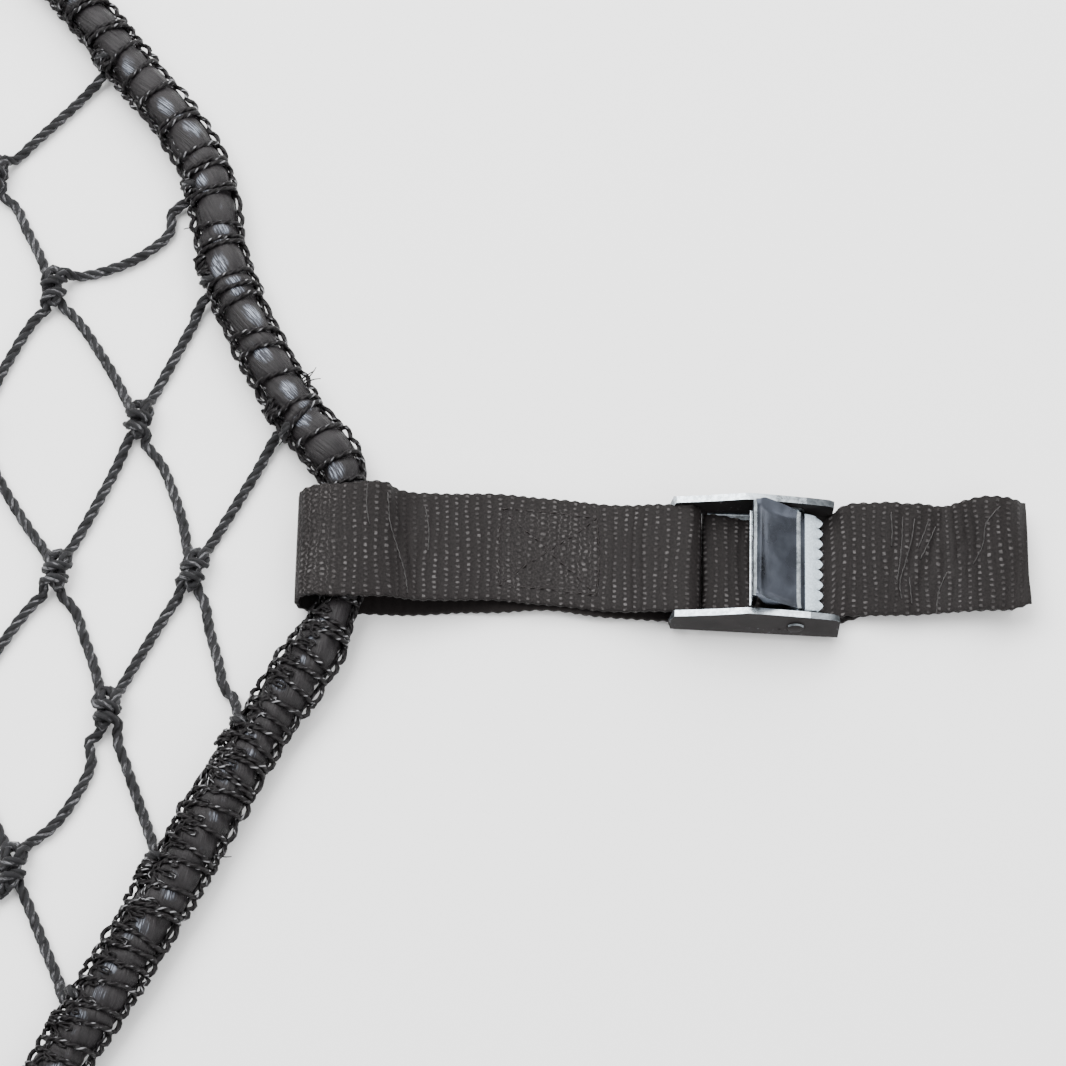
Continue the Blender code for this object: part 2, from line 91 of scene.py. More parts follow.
# How far the middle of a bar lies to its side
BAR_SLACK = 0.9
BAR_BOWS = {
    ("v", 3, 0): 5.0,
    ("v", 1, 2): 3.6,
    ("u", 0, 1): 0.8,
    ("u", 0, 2): 0.0,
    ("u", 1, 1): -1.5,
    ("u", 2, 1): -0.8,
    ("u", 1, 2): -0.6,
    ("v", 1, 0): 0.2,
    ("v", 2, 0): 0.3,
    ("v", 2, 1): 0.4,
    ("u", 7, 3): 3.0,
    ("v", 6, 8): -3.0,
}
BEND_RADIUS = 38.0
BEND_SHARE = 0.95
# Places across the tab where the rope's line is held flat and squeezed
HELD_PLACES = (-14.2, -7.0, 0.0, 7.0, 14.2)
TAB_SQUEEZE = 0.80
OUTER_LIFT, OUTER_SIZE = 0.7, 0.93
ROPE_LIFT = WEB_THICK + CLEAR
# Name, ends of the lattice, pull outwards, slide along the rope, and degrees that the strap turns
CORNERS = (
    ("right", 0, 0, 2.4, 4.1, 1.5),
    ("top", 1, 0, 0.0, 0.0, -2.0),
    ("left", 1, 1, 0.0, 0.0, 3.0),
    ("bottom", 0, 1, 0.0, 0.0, -1.0),
)
BAR_X, BAR_Z, BAR_RADIUS = 71.4, 4.8, 2.0
BASE_REAR = 77.5
FOLD_X = BASE_REAR - 0.6
BASE_LOW = WEB_THICK + CLEAR
BASE_THICK = 1.2
STRAP_OVER = BASE_LOW + BASE_THICK + CLEAR + WEB_THICK / 2
WALL_INNER = WEB_WIDTH / 2 + CLEAR
WALL_OUTER = WALL_INNER + 1.2
PIVOT_X, PIVOT_Z = 94.9, 6.4
TAIL_END = 144.8

# Webbing in side view: x, z, lead of the far edge, its lift, and sideways drift
TAB_SHAPE = (
    (-11.6, 5.3, -0.7, 0.0, 0.0),
    (-10.9, 8.4, -0.7, 0.2, 0.0),
    (-8.0, 10.9, -0.4, 1.4, 0.0),
    (-4.0, 11.6, 0.0, 2.4, 0.0),
    (1.0, 12.0, -0.5, 3.4, 0.2),
    (5.0, 12.0, -1.2, 4.2, 0.4),
    (7.6, 11.2, -1.8, 3.4, 0.5),
    (9.8, 9.0, -2.0, 1.0, 0.6),
    (12.6, 7.5, -1.8, 0.4, 0.8),
    (17.5, 6.4, -1.2, 0.0, 1.4),
    (24.0, 5.4, -0.6, 0.0, 1.9),
    (31.0, 4.3, 0.0, 0.0, 2.5),
    (42.0, 3.7, 0.0, 0.0, 2.2),
    (53.0, 3.7, 0.0, 0.0, 1.2),
    (58.5, 4.7, 0.5, 0.0, 0.8),
    (64.0, 6.8, 0.5, 0.0, 0.2),
)
TAB_FOOT = (
    (64.0, 1.6, 0.0, 0.0, 0.2),
    (53.0, 2.2, 0.0, 0.0, 0.6),
    (42.0, 2.1, 0.0, 0.0, 1.5),
    (30.0, 1.4, 0.0, 0.0, 1.0),
    (14.0, 0.6, 0.0, 0.0, 0.2),
    (-5.0, 0.6, 0.0, 0.0, 0.0),
    (-9.0, 1.4, -0.4, 0.0, 0.0),
    (-11.0, 3.0, -0.6, 0.0, 0.0),
)
TUCK_X = 81.5  # where the strap's far edge draws in from the buckle's bend
BAR_WRAP = BAR_RADIUS + CLEAR + WEB_THICK / 2
LOADED_SHAPE = (
    (142.0, 0.6, 0.0, 0.0, 5.9),
    (124.0, 0.6, 0.0, 0.0, 4.7),
    (110.0, 0.6, 0.0, 0.0, 3.4),
    (104.0, 0.6, 0.0, 0.0, 1.4),
    (90.0, 0.6, 0.0, 0.0, 0.0),
)
TAIL_SHAPE = (
    (102.8, STRAP_OVER, 0.0, 0.2, 0.4),
    (105.0, 3.8, 0.0, 1.6, 2.1),
    (108.0, 4.2, 0.0, 3.4, 2.5),
    (111.0, 4.6, 0.0, 3.2, 2.4),
    (115.0, 5.2, 0.4, 3.6, 2.4),
    (118.0, 5.1, 0.2, 2.8, 2.5),
    (122.0, 4.6, 0.0, 2.3, 3.0),
    (128.0, 4.0, -0.6, -0.7, 3.4),
    (132.0, 5.6, -1.0, 1.6, 3.6),
    (136.5, 8.0, -1.0, 3.4, 3.4),
    (140.5, 7.6, -0.4, 2.6, 3.7),
    (TAIL_END, 5.6, 0.0, -4.4, 4.8),
)

# Ridges pressed into the webbing: x, y, run in x and y, height, half breadth, and half length
TAB_CREASES = (
    (10.0, 0.0, -0.20, 1.0, 0.50, 0.9, 13.0),
    (15.0, 5.0, 0.25, 1.0, 0.25, 1.2, 8.0),
    (57.5, 0.0, 0.04, 1.0, 0.25, 1.2, 14.0),
)
TAIL_CREASES = (
    (115.0, 3.5, 0.12, 1.0, 0.35, 0.9, 9.0),
    (118.4, 2.0, 0.28, 1.0, 0.45, 0.8, 10.0),
    (121.5, -1.0, 0.34, 1.0, 0.40, 0.8, 11.0),
    (125.0, -3.5, 0.22, 1.0, 0.35, 0.9, 9.0),
    (131.0, 1.0, 0.42, 1.0, 0.50, 0.9, 11.0),
    (134.5, 3.0, 0.36, 1.0, 0.40, 0.8, 8.0),
)

# A knot, about its middle: rightwards, upwards, height, size of the cord there.
# The bight is the bend of the upper pair of bars; the hitch is the lower pair, wound round it.
BIGHT = (
    (1.6, 2.5, 4.4, 0.98),
    (0.9, -0.6, 3.3, 0.85),
    (0.95, -3.0, 3.2, 0.86),
    (0.1, -4.7, 2.9, 0.98),
    (-0.9, -3.1, 3.0, 0.86),
    (-0.9, -0.4, 3.1, 0.85),
    (-1.75, 2.6, 3.3, 0.98),
)
HITCH = (
    (-1.9, -5.3, 1.7, 1.0),
    (-2.35, -3.3, 3.1, 0.94),
    (-0.2, -2.6, 4.9, 0.94),
    (2.2, -1.9, 3.3, 0.90),
    (0.3, -1.0, 1.4, 0.80),
    (-2.45, -0.3, 3.1, 0.95),
    (-0.1, 0.4, 5.0, 0.94),
    (2.2, 1.1, 3.3, 0.92),
    (1.5, 3.3, 2.2, 0.94),
    (-0.2, 4.3, 2.3, 1.0),
    (-2.0, 2.2, 2.9, 0.92),
    (-1.3, 0.2, 1.4, 0.85),
    (0.7, -2.2, 1.4, 0.90),
    (1.9, -4.8, 1.5, 0.98),
)
# From a knot's middle to where its bars run straight, above and below it
EXIT_ABOVE, EXIT_BELOW = 5.4, 7.6


# Settings that a user may change


def millimetres(name, description, default, low, high):
    return FloatProperty(
        name=name, description=f"{description}, in millimetres", default=default, min=low, max=high)


def paint(name, description, default):
    return FloatVectorProperty(
        name=name, description=description, subtype="COLOR", size=3,
        default=default, min=0.0, max=1.0)


class NetSettings(bpy.types.PropertyGroup):
    cord: millimetres("Cord thickness", "Thickness of the laid cord", 2.55, 1.0, 6.0)
    lay: millimetres("Lay", "Length in which the cord's strands turn once", 8.7, 3.0, 30.0)
    step: millimetres("Step", "Spacing of the cord's cross sections", 1.15, 0.5, 3.0)
    color: paint("Cord colour", "Colour of the laid cord", (0.0115, 0.0115, 0.0126))


class BorderSettings(bpy.types.PropertyGroup):
    width: millimetres("Core width", "Width of the rope under its oversewing", 8.6, 3.0, 20.0)
    height: millimetres("Core height", "Height of the rope under its oversewing", 7.6, 3.0, 20.0)
    pitch: millimetres("Stitch pitch", "Distance from one stitch to the next", 5.7, 2.0, 12.0)
    thread: millimetres("Thread thickness", "Thickness of the oversewing thread", 1.1, 0.2, 2.0)
    color: paint("Rope colour", "Colour of the rope's shiny fibre", (0.0088, 0.0076, 0.0084))


class WebbingSettings(bpy.types.PropertyGroup):
    rib: millimetres("Rib pitch", "Distance between the ribs across the webbing", 2.3, 0.8, 6.0)
    relief: millimetres("Rib relief", "Height of the ribs", 0.07, 0.0, 0.6)
    thickness: millimetres("Thickness", "Thickness of the band between its ribs", 1.0, 0.4, 3.0)
    color: paint("Webbing colour", "Colour of the woven band", (0.0096, 0.0082, 0.0081))
    # Painted highlight: the colour that the yarn crowns and lifted yarns take where light would
    # catch them.
    crown_highlight: paint("Yarn crown colour", "Colour where the light catches the yarn's crowns",
                 (0.090, 0.085, 0.085))


class BuckleSettings(bpy.types.PropertyGroup):
    sheet: millimetres("Sheet thickness", "Thickness of the bent steel sheet", 1.5, 0.6, 2.5)
    edge: millimetres("Edge rounding", "Rounding along the sheet's edges", 0.22, 0.02, 0.5)
    teeth: IntProperty(
        name="Teeth", description="Number of teeth along the lever's gripping edge",
        default=9, min=4, max=20)
    # Painted highlight: the plating colour also paints highlights on the sheet's cut edges, its
    # rounded corners and the lever's bends.
    bright: paint("Bright plating", "Colour of the plating on edges and teeth", (0.52, 0.575, 0.62))
    # Painted reflection and shade: the broad plated faces are coloured nearly black for the dark
    # surroundings that they mirror.
    dull: paint("Dark finish", "Colour of the buckle's broad faces", (0.019, 0.0175, 0.0178))
    lever: paint("Lever plating", "Colour of the lever's face", (0.070, 0.078, 0.096))


class StageSettings(bpy.types.PropertyGroup):
    distance: FloatProperty(
        name="Camera distance", description="Distance from the camera to its aim", unit="LENGTH",
        default=0.62, min=0.1, max=5.0)
    elevation: FloatProperty(
        name="Camera elevation", description="Height of the camera above the horizon",
        subtype="ANGLE", default=radians(66.0), min=0.0, max=pi / 2)
    lens: FloatProperty(
        name="Lens", description="Focal length of the camera", default=96.3, min=10.0, max=300.0)
    floor: FloatProperty(
        name="Floor tone", description="Paleness of the floor", subtype="FACTOR",
        default=0.96, min=0.0, max=1.0)
    key: FloatProperty(
        name="Key light", description="Power of the large soft light, in watts",
        default=33.0, min=0.0, max=500.0)


# Layout of the net, as in the solids


def grid_point(u, v):
    """A knot's or lashing's place, before the net is centred."""
    x = -MESH_BAR * sum(sin(radians(a)) for a in U_LEAN[:u])
    x -= MESH_BAR * sum(sin(radians(a)) for a in V_LEAN[:v])
    y = MESH_BAR * sum(cos(radians(a)) for a in U_LEAN[:u])
    y -= MESH_BAR * sum(cos(radians(a)) for a in V_LEAN[:v])
    return Vector((x, y)) + Vector(SHIFTS.get((u, v), (0, 0)))


def turned(point, angle):
    c, s = cos(angle), sin(angle)
    return Vector((point[0] * c - point[1] * s, point[0] * s + point[1] * c))


class Corner:
    """Where a corner's rope bends and which way its strap runs."""

    def __init__(self, u_share, v_share, pull, slide, aim):
        u, v = u_share * CELLS, v_share * CELLS
        lattice = grid_point(u, v)
        along_u = grid_point(u + (1 - 2 * u_share), v) - lattice
        along_v = grid_point(u, v + (1 - 2 * v_share)) - lattice
        outward = -(along_u.normalized() + along_v.normalized()).normalized()
        half = along_u.angle(along_v) / 2
        self.radius = min(BEND_RADIUS, BEND_SHARE * MESH_BAR * tan(half))
        self.turn = pi / 2 - half
        cut = self.radius * (1 / sin(half) - 1) - pull
        self.apex = lattice - outward * cut + Vector((-outward.y, outward.x)) * slide
        self.bend_angle = atan2(outward.y, outward.x)
        self.angle = self.bend_angle + radians(aim)

    def bend_points(self):
        held = [asin(y / self.radius) for y in HELD_PLACES]
        for a in (-self.turn, *held, self.turn):
            arc = (-self.radius * (1 - cos(a)), self.radius * sin(a))
            p = self.apex + turned(arc, self.bend_angle)
            outer = abs(a) == self.turn
            yield (p.x, p.y, 0, *((OUTER_LIFT, OUTER_SIZE) if outer else (ROPE_LIFT, TAB_SQUEEZE)))

    def matrix(self):
        place = self.apex - CENTRE
        spin = Matrix.Rotation(self.angle, 4, "Z")
        return Matrix.Translation((place.x * MM, place.y * MM, 0)) @ spin


def net_centre():
    """The middle of the box round the straps' far ends."""
    tips = [c.apex + turned((TAIL_END, 0), c.angle) for c in CORNER_PLACES.values()]
    xs, ys = [t.x for t in tips], [t.y for t in tips]
    return Vector(((min(xs) + max(xs)) / 2, (min(ys) + max(ys)) / 2))


CORNER_PLACES = {row[0]: Corner(*row[1:]) for row in CORNERS}
CENTRE = net_centre()


def bow(kind, u, v):
    """How far the bar that starts at a knot bows sideways."""
    if (kind, u, v) in BAR_BOWS:
        return BAR_BOWS[kind, u, v]
    return BAR_SLACK * sin(2.3 * u + 3.7 * v + (1.4 if kind == "u" else 0.0))


def hump(x, middle, reach, power=2):
    """1 at the middle, and next to nothing well beyond the reach."""
    return exp(-((x - middle) / reach) ** power)


# Lines through points


def smooth_line(points, step, closed=False):
    """A smooth line through rows of numbers, at even steps of about step. The first three are a
    place."""
    count = len(points)
    rows = [tuple(float(x) for x in p) for p in points]

    def row(i):
        return rows[i % count] if closed else rows[max(0, min(count - 1, i))]

    def gap(a, b):
        return max(1e-6, dist(a[:3], b[:3]))

    dense = []
    for i in range(count if closed else count - 1):
        p, q, r, s = row(i - 1), row(i), row(i + 1), row(i + 2)
        d0, d1, d2 = gap(p, q), gap(q, r), gap(r, s)
        if not closed and i == 0:
            d0 = d1
        if not closed and i == count - 2:
            d2 = d1
        pieces = max(2, ceil(2.5 * d1 / step))
        for k in range(pieces):
            t = k / pieces
            h = (2 * t**3 - 3 * t**2 + 1, t**3 - 2 * t**2 + t,
                 -2 * t**3 + 3 * t**2, t**3 - t**2)
            dense.append(tuple(
                h[0] * b + h[2] * c
                + h[1] * ((b - a) * d1 * d1 / d0 + (c - b) * d0) / (d0 + d1)
                + h[3] * ((c - b) * d2 + (d - c) * d1 * d1 / d2) / (d1 + d2)
                for a, b, c, d in zip(p, q, r, s)))
    dense.append(dense[0] if closed else rows[-1])
    return even_steps(dense, step, closed)


def even_steps(rows, step, closed):
    lengths = [0.0]
    for a, b in zip(rows, rows[1:]):
        lengths.append(lengths[-1] + dist(a[:3], b[:3]))
    count = max(2, round(lengths[-1] / step))
    result, i = [], 0
    for k in range(count if closed else count + 1):
        target = min(lengths[-1] * k / count, lengths[-1] * (1 - 1e-9))
        while lengths[i + 1] < target:
            i += 1
        t = (target - lengths[i]) / max(1e-9, lengths[i + 1] - lengths[i])
        result.append(tuple(a + (b - a) * t for a, b in zip(rows[i], rows[i + 1])))
    return result


# The side below the photographed corner, as lengths before the line's end: the rope is thicker
# there by a share, and its sewing lies further out by some millimetres
THICKER, THICK_MIDDLE, THICK_REACH = 0.13, -66, 34
OUTWARD, FURTHER_OUT, OUT_MIDDLE, OUT_REACH = 0.85, 0.35, -60, 50


class Route:
    """The border rope's closed centre line: places, headings and sizes by length along it."""

    def __init__(self):
        sides = (
            ("right", [(k, 0) for k in range(1, CELLS)]),
            ("top", [(CELLS, k) for k in range(1, CELLS)]),
            ("left", [(CELLS - k, CELLS) for k in range(1, CELLS)]),
            ("bottom", [(0, CELLS - k) for k in range(1, CELLS)]),
        )
        points = []
        for name, places in sides:
            points += CORNER_PLACES[name].bend_points()
            points += [(*grid_point(*place), 0, 0.0, 1.0) for place in places]
        points = [(x - CENTRE.x, y - CENTRE.y, *rest) for x, y, *rest in points]
        self.rows = smooth_line(points, 0.7, closed=True)
        self.length = sum(
            dist(a[:2], b[:2]) for a, b in zip(self.rows, self.rows[1:] + self.rows[:1]))
        step = self.length / len(self.rows)
        self.rows = [
            (*row[:4], row[4] * (1 + THICKER * hump(
                k * step - self.length, THICK_MIDDLE, THICK_REACH, 4)))
            for k, row in enumerate(self.rows)]

    def at(self, s):
        """Place, leftward unit vector, height of the middle and size at length s."""
        f = (s / self.length) % 1.0 * len(self.rows)
        i, t = int(f), f - int(f)
        a, b = self.rows[i % len(self.rows)], self.rows[(i + 1) % len(self.rows)]
        x, y, _, lift, size = (p + (q - p) * t for p, q in zip(a, b))
        ahead, behind = self.rows[(i + 2) % len(self.rows)], self.rows[i - 1]
        heading = Vector((ahead[0] - behind[0], ahead[1] - behind[1])).normalized()
        left = Vector((-heading.y, heading.x))
        return Vector((x, y)), left, max(0.0, lift) + size * ROPE_HEIGHT / 2, size

    def shift(self, s, size):
        """How far the core and its threads lie to the outside of the middle: most on the side below
        the photographed corner, and hardly at all inside the tabs."""
        s = s % self.length - self.length
        out = OUTWARD + FURTHER_OUT * hump(s, OUT_MIDDLE, OUT_REACH, 4)
        return out * min(1.0, size) ** 8

    def point(self, s, y, z):
        """A point y to the left of the rope's middle and z above it."""
        place, left, middle, size = self.at(s)
        p = place + left * (y * size - self.shift(s, size))
        return (p.x, p.y, max(0.35, middle + z * size))

    def nearest(self, x, y):
        k = min(range(len(self.rows)), key=lambda i: dist(self.rows[i][:2], (x, y)))
        return self.length * k / len(self.rows)


# Making pieces


def finished(name, bm, finishes, body="net", *, replaces=()):
    """Puts a mesh in the scene as a piece that rides on a body of the frame."""
    obj = new_object(name, to_mesh(name, bm))
    for finish in finishes:
        obj.data.materials.append(finish)
    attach(obj, body)
    if replaces:
        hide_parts(*replaces)
    return obj


def outline_curve(points):
    curve = bpy.data.curves.new("outline", "CURVE")
    curve.dimensions = "2D"
    spline = curve.splines.new("POLY")
    spline.points.add(len(points) - 1)
    for point, (x, y) in zip(spline.points, points):
        point.co = (x * MM, y * MM, 0, 1)
    spline.use_cyclic_u = True
    return new_object("outline", curve)


def new_object(name, data):
    obj = bpy.data.objects.new(name, data)
    bpy.context.scene.collection.objects.link(obj)
    return obj


def round_outline(radius, sides):
    """Wound clockwise, so that a curve's faces point outwards."""
    turns = [-2 * pi * (k + 0.5) / sides for k in range(sides)]
    return [(radius * cos(a), radius * sin(a)) for a in turns]


def three_strand_outline(radius):
    """Three round lobes with a groove between each two."""
    reaches = [radius * share for share in (0.60, 0.87, 1.0, 0.87) * 3]
    turns = [-2 * pi * k / len(reaches) for k in range(len(reaches))]
    return [(r * cos(a), r * sin(a)) for r, a in zip(reaches, turns)]


def run_outline(lines, outline, lay=None, closed=False, upright=False):
    """Runs an outline along lines of (x, y, z, size). The UV map holds the length along the line
    in metres and the share of the way round it."""
    guide = outline_curve(outline)
    joined = bmesh.new()
    for line in lines:
        curve = bpy.data.curves.new("line", "CURVE")
        curve.dimensions = "3D"
        curve.twist_mode = "Z_UP" if upright else "MINIMUM"
        curve.bevel_mode = "OBJECT"
        curve.bevel_object = guide
        curve.use_fill_caps = not closed
        spline = curve.splines.new("POLY")
        spline.points.add(len(line) - 1)
        length = sum(dist(a[:3], b[:3]) for a, b in zip(line, line[1:]))
        turn = 2 * pi * length / lay if lay else 0.0
        for k, (point, (x, y, z, size)) in enumerate(zip(spline.points, line)):
            point.co = (x * MM, y * MM, z * MM, 1)
            point.radius = size
            point.tilt = turn * k / (len(line) - 1)
        spline.use_cyclic_u = closed
        obj = new_object("line", curve)
        shaped = obj.evaluated_get(bpy.context.evaluated_depsgraph_get())
        mesh = bpy.data.meshes.new_from_object(shaped)
        layer = mesh.uv_layers[0].data
        values = [0.0] * (2 * len(layer))
        layer.foreach_get("uv", values)
        values[0::2] = [u * length * MM for u in values[0::2]]
        layer.foreach_set("uv", values)
        joined.from_mesh(mesh)
        bpy.data.meshes.remove(mesh)
        bpy.data.objects.remove(obj)
        bpy.data.curves.remove(curve)
    bpy.data.objects.remove(guide)
    if not closed:
        bmesh.ops.remove_doubles(joined, verts=joined.verts, dist=1e-6)
    for face in joined.faces:
        face.smooth = True
    return joined


def to_mesh(name, bm):
    mesh = bpy.data.meshes.new(name)
    bm.to_mesh(mesh)
    bm.free()
    return mesh


# Finishes

PLY_LAY = 0.0021  # metres in which the sewing thread's plies turn once
YARN_PITCH = 1.28  # millimetres between the yarns across the webbing


class Value:
    """A number that a shader works out: sums and products of values become its math nodes."""

    def __init__(self, nodes, socket):
        self.nodes, self.socket = nodes, socket

    def __add__(self, other):
        return self.nodes.math("ADD", self, other)

    def __sub__(self, other):
        return self.nodes.math("SUBTRACT", self, other)

    def __rsub__(self, other):
        return self.nodes.math("SUBTRACT", other, self)

    def __mul__(self, other):
        return self.nodes.math("MULTIPLY", self, other)

    def cos(self):
        return self.nodes.math("COSINE", self)

    def sin(self):
        return self.nodes.math("SINE", self)

    def ramp(self, low, high, start=0.0, end=1.0):
        """Maps low to high onto start to end, held at the ends."""
        return self.nodes.add("ShaderNodeMapRange", {0: self, 1: low, 2: high, 3: start, 4: end})


class Nodes:
    """Short ways to add shader nodes to a material."""

    def __init__(self, name, color, roughness, metallic=0.0, specular=0.5):
        self.material = bpy.data.materials.new(name)
        self.material.use_nodes = True
        self.tree = self.material.node_tree
        self.shader = self.tree.nodes["Principled BSDF"]
        self.feed("Base Color", (*color, 1))
        self.feed("Roughness", roughness)
        self.feed("Metallic", metallic)
        self.feed("Specular IOR Level", specular)

    def feed(self, name, value):
        self.put(self.shader.inputs[name], value)

    def put(self, socket, value):
        if isinstance(value, Value):
            self.tree.links.new(value.socket, socket)
        else:
            socket.default_value = value

    def add(self, kind, inputs, output=0, **settings):
        node = self.tree.nodes.new(kind)
        for key, value in settings.items():
            setattr(node, key, value)
        for key, value in inputs.items():
            self.put(node.inputs[key], value)
        return Value(self, node.outputs[output])

    def math(self, operation, *values):
        return self.add("ShaderNodeMath", dict(enumerate(values)), operation=operation)

    def split(self, vector):
        first = self.add("ShaderNodeSeparateXYZ", {0: vector})
        return [Value(self, socket) for socket in first.socket.node.outputs]

    def join(self, *values):
        return self.add("ShaderNodeCombineXYZ", dict(enumerate(values)))

    def attribute(self, name):
        return self.add("ShaderNodeAttribute", {}, "Fac", attribute_name=name)

    def uv(self):
        return self.add("ShaderNodeUVMap", {}, uv_map="UVMap")

    def place(self):
        return self.add("ShaderNodeTexCoord", {}, "Object")

    def noise(self, vector, scale, detail=3.0, roughness=0.5):
        return self.add("ShaderNodeTexNoise", {
            "Vector": vector, "Scale": scale, "Detail": detail, "Roughness": roughness})

    def blend(self, share, *colors):
        first, second = (c if isinstance(c, Value) else (*c, 1) for c in colors)
        return self.add("ShaderNodeMix", {0: share, 6: first, 7: second}, 2, data_type="RGBA")

    def surface(self, color, height, strength, distance, roughness=None):
        """The material, once its shader is fed with a colour, a relief and perhaps a roughness."""
        self.feed("Base Color", color)
        self.feed("Normal", self.add("ShaderNodeBump", {
            "Height": height, "Strength": strength, "Distance": distance}))
        if roughness:
            self.feed("Roughness", roughness)
        return self.material


def tint(color, share):
    return tuple(c * share for c in color)


def round_vector(n, around, along, stretch, turns=0.0):
    """A place on a cord: the way round it as a circle, and the length along it drawn out, so that
    a pattern runs along the fibre without a seam."""
    angle = around * (2 * pi) + along * turns
    return n.join(angle.cos(), angle.sin(), along * stretch)


def cord_finish(color):
    """Laid cord: matt charcoal strands with painted shade in the grooves between them, and painted
    highlights as short glints along their borders.
    """
    n = Nodes("laid cord", color, 0.5, specular=0.18)
    along, around, _ = n.split(n.uv())
    fibres = n.noise(round_vector(n, around, along, 160.0), 9.0, 4.0, 0.65)
    patches = n.noise(n.place(), 330.0, 2.0)
    strands = around * (6 * pi)
    # Painted highlight: short glints along one flank of each strand, in patches.
    glint = (strands + 1.0).cos().ramp(0.35, 0.85) * fibres.ramp(0.44, 0.60)
    glint = glint * patches.ramp(0.44, 0.60)
    haze = fibres.ramp(0.50, 0.72) * patches.ramp(0.40, 0.66) * 0.7
    # Painted shade: the strand colour darkens towards each groove between the strands.
    tone = n.blend(strands.cos().ramp(-0.2, 1.0), tint(color, 1.25), tint(color, 0.35))
    tone = n.blend(haze, tone, (0.048, 0.049, 0.054))
    tone = n.blend(glint, tone, (0.25, 0.25, 0.265))
    return n.surface(tone, fibres, 0.6, 0.0005, fibres.ramp(0.3, 0.7, 0.62, 0.40))


def rope_finish(color):
    """Shiny parallel fibre: dark panels between the stitches, with painted highlights in patches
    and streaks along the fibre.
    """
    n = Nodes("border rope fibre", color, 0.42, specular=0.22)
    along, around, _ = n.split(n.uv())
    circle = round_vector(n, around, along, 20.0, 62.0)
    fibres = n.noise(circle, 15.0, 5.0, 0.62)
    locks = n.noise(circle, 3.4, 2.0)
    # Painted highlight: lit is the patch of painted light held in the panel attribute, broken up by
    # noise.
    lit = (n.attribute("panel") + n.noise(n.place(), 260.0, 1.0) * 0.6).ramp(0.48, 0.95)
    tone = n.blend(locks.ramp(0.35, 0.65), tint(color, 0.7), tint(color, 1.4))
    # Painted highlights: a soft sheen over each lit patch, then fine streaks along the fibre within
    # it.
    tone = n.blend(lit * 0.5, tone, (0.045, 0.049, 0.062))
    tone = n.blend(lit * fibres.ramp(0.49, 0.59), tone, (0.27, 0.30, 0.36))
    return n.surface(tone, fibres + locks * 1.8, 0.5, 0.0006, fibres.ramp(0.3, 0.7, 0.55, 0.34))


def thread_finish(name, color, glint_color, share):
    """Two-ply sewing thread: the plies show as slanting ridges, with painted shade between them and
    small painted highlights as glints on them.
    """
    n = Nodes(name, color, 0.5, specular=0.16)
    along, around, _ = n.split(n.uv())
    plies = (around * (4 * pi) + along * (2 * pi / PLY_LAY)).sin()
    patches = n.noise(n.place(), 460.0, 2.0)
    # Painted highlight: glints on the ply ridges, in patches.
    glint = plies.ramp(0.45, 0.95) * patches.ramp(0.66 - 0.12 * share, 0.72 - 0.10 * share)
    # Painted shade: the colour darkens from each ply's ridge down into the groove beside it.
    tone = n.blend(plies.ramp(-1.0, 1.0), tint(color, 0.6), tint(color, 1.25))
    return n.surface(n.blend(glint, tone, glint_color), plies, 0.7, 0.00025)


def webbing_finish(color, crown_highlight, rib):
    """Ribbed webbing: each rib shows a row of yarn crowns as painted highlights, and where the band
    is bent or sewn the rows between them take painted highlights as well."""
    n = Nodes("woven webbing", color, 0.65, specular=0.12)
    uv = n.uv()
    along, across, _ = n.split(uv)
    press = n.attribute("press")
    shove = (n.noise(uv, 330.0, 2.0) - 0.5) * (press * 1.2 + 0.25)
    ribs = along * (1 / (rib * MM)) + shove
    odd = n.math("MODULO", n.math("FLOOR", ribs + 0.5), 2.0)
    crest = (ribs * (2 * pi)).cos()
    frayed = (n.noise(uv, 1150.0, 3.0, 0.6) - 0.5) * 3.0
    bead = ((across * (1 / (YARN_PITCH * MM)) + odd * 0.4) * (2 * pi)).cos() + frayed
    crowns = (crest + frayed * 0.5).ramp(0.35, 1.0) * bead.ramp(-0.5, 0.7)
    hollow = crest.ramp(-0.35, -0.95) * bead.ramp(0.5, -0.6)
    fine = n.noise(uv, 1700.0, 4.0, 0.75)
    patches = n.noise(uv, 85.0, 2.0)
    beads = n.math("MAXIMUM", crowns, hollow * (press + patches * 0.8).ramp(0.55, 1.05))
    # Painted highlight: catch is where the yarn crowns take the painted highlight colour, in
    # patches.
    catch = beads.ramp(0.2, 0.9) * n.noise(uv, 560.0, 1.0).ramp(0.30, 0.62, 0.2, 1.0)
    catch = catch * patches.ramp(0.32, 0.62, 0.25, 1.0) * fine.ramp(0.35, 0.62, 0.55, 1.15)
    # Painted shade: the shadow attribute dims the painted highlights where the band turns away from
    # the light.
    catch = catch * (1.0 - n.attribute("shadow"))
    haze = press * fine.ramp(0.48, 0.66) * 0.3
    tone = n.blend(fine.ramp(0.36, 0.64), tint(color, 0.65), tint(color, 1.5))
    tone = n.blend(n.math("MAXIMUM", catch, haze), tone, crown_highlight)
    return n.surface(tone, beads + fine * 0.5, 0.6, 0.00022)


def plain_finish(color):
    """The inner side of a folded band, which the light hardly reaches."""
    n = Nodes("webbing inside", color, 0.8, specular=0.05)
    fine = n.noise(n.uv(), 900.0, 3.0)
    return n.surface(n.blend(fine, tint(color, 0.8), tint(color, 1.15)), fine, 0.3, 0.0002)


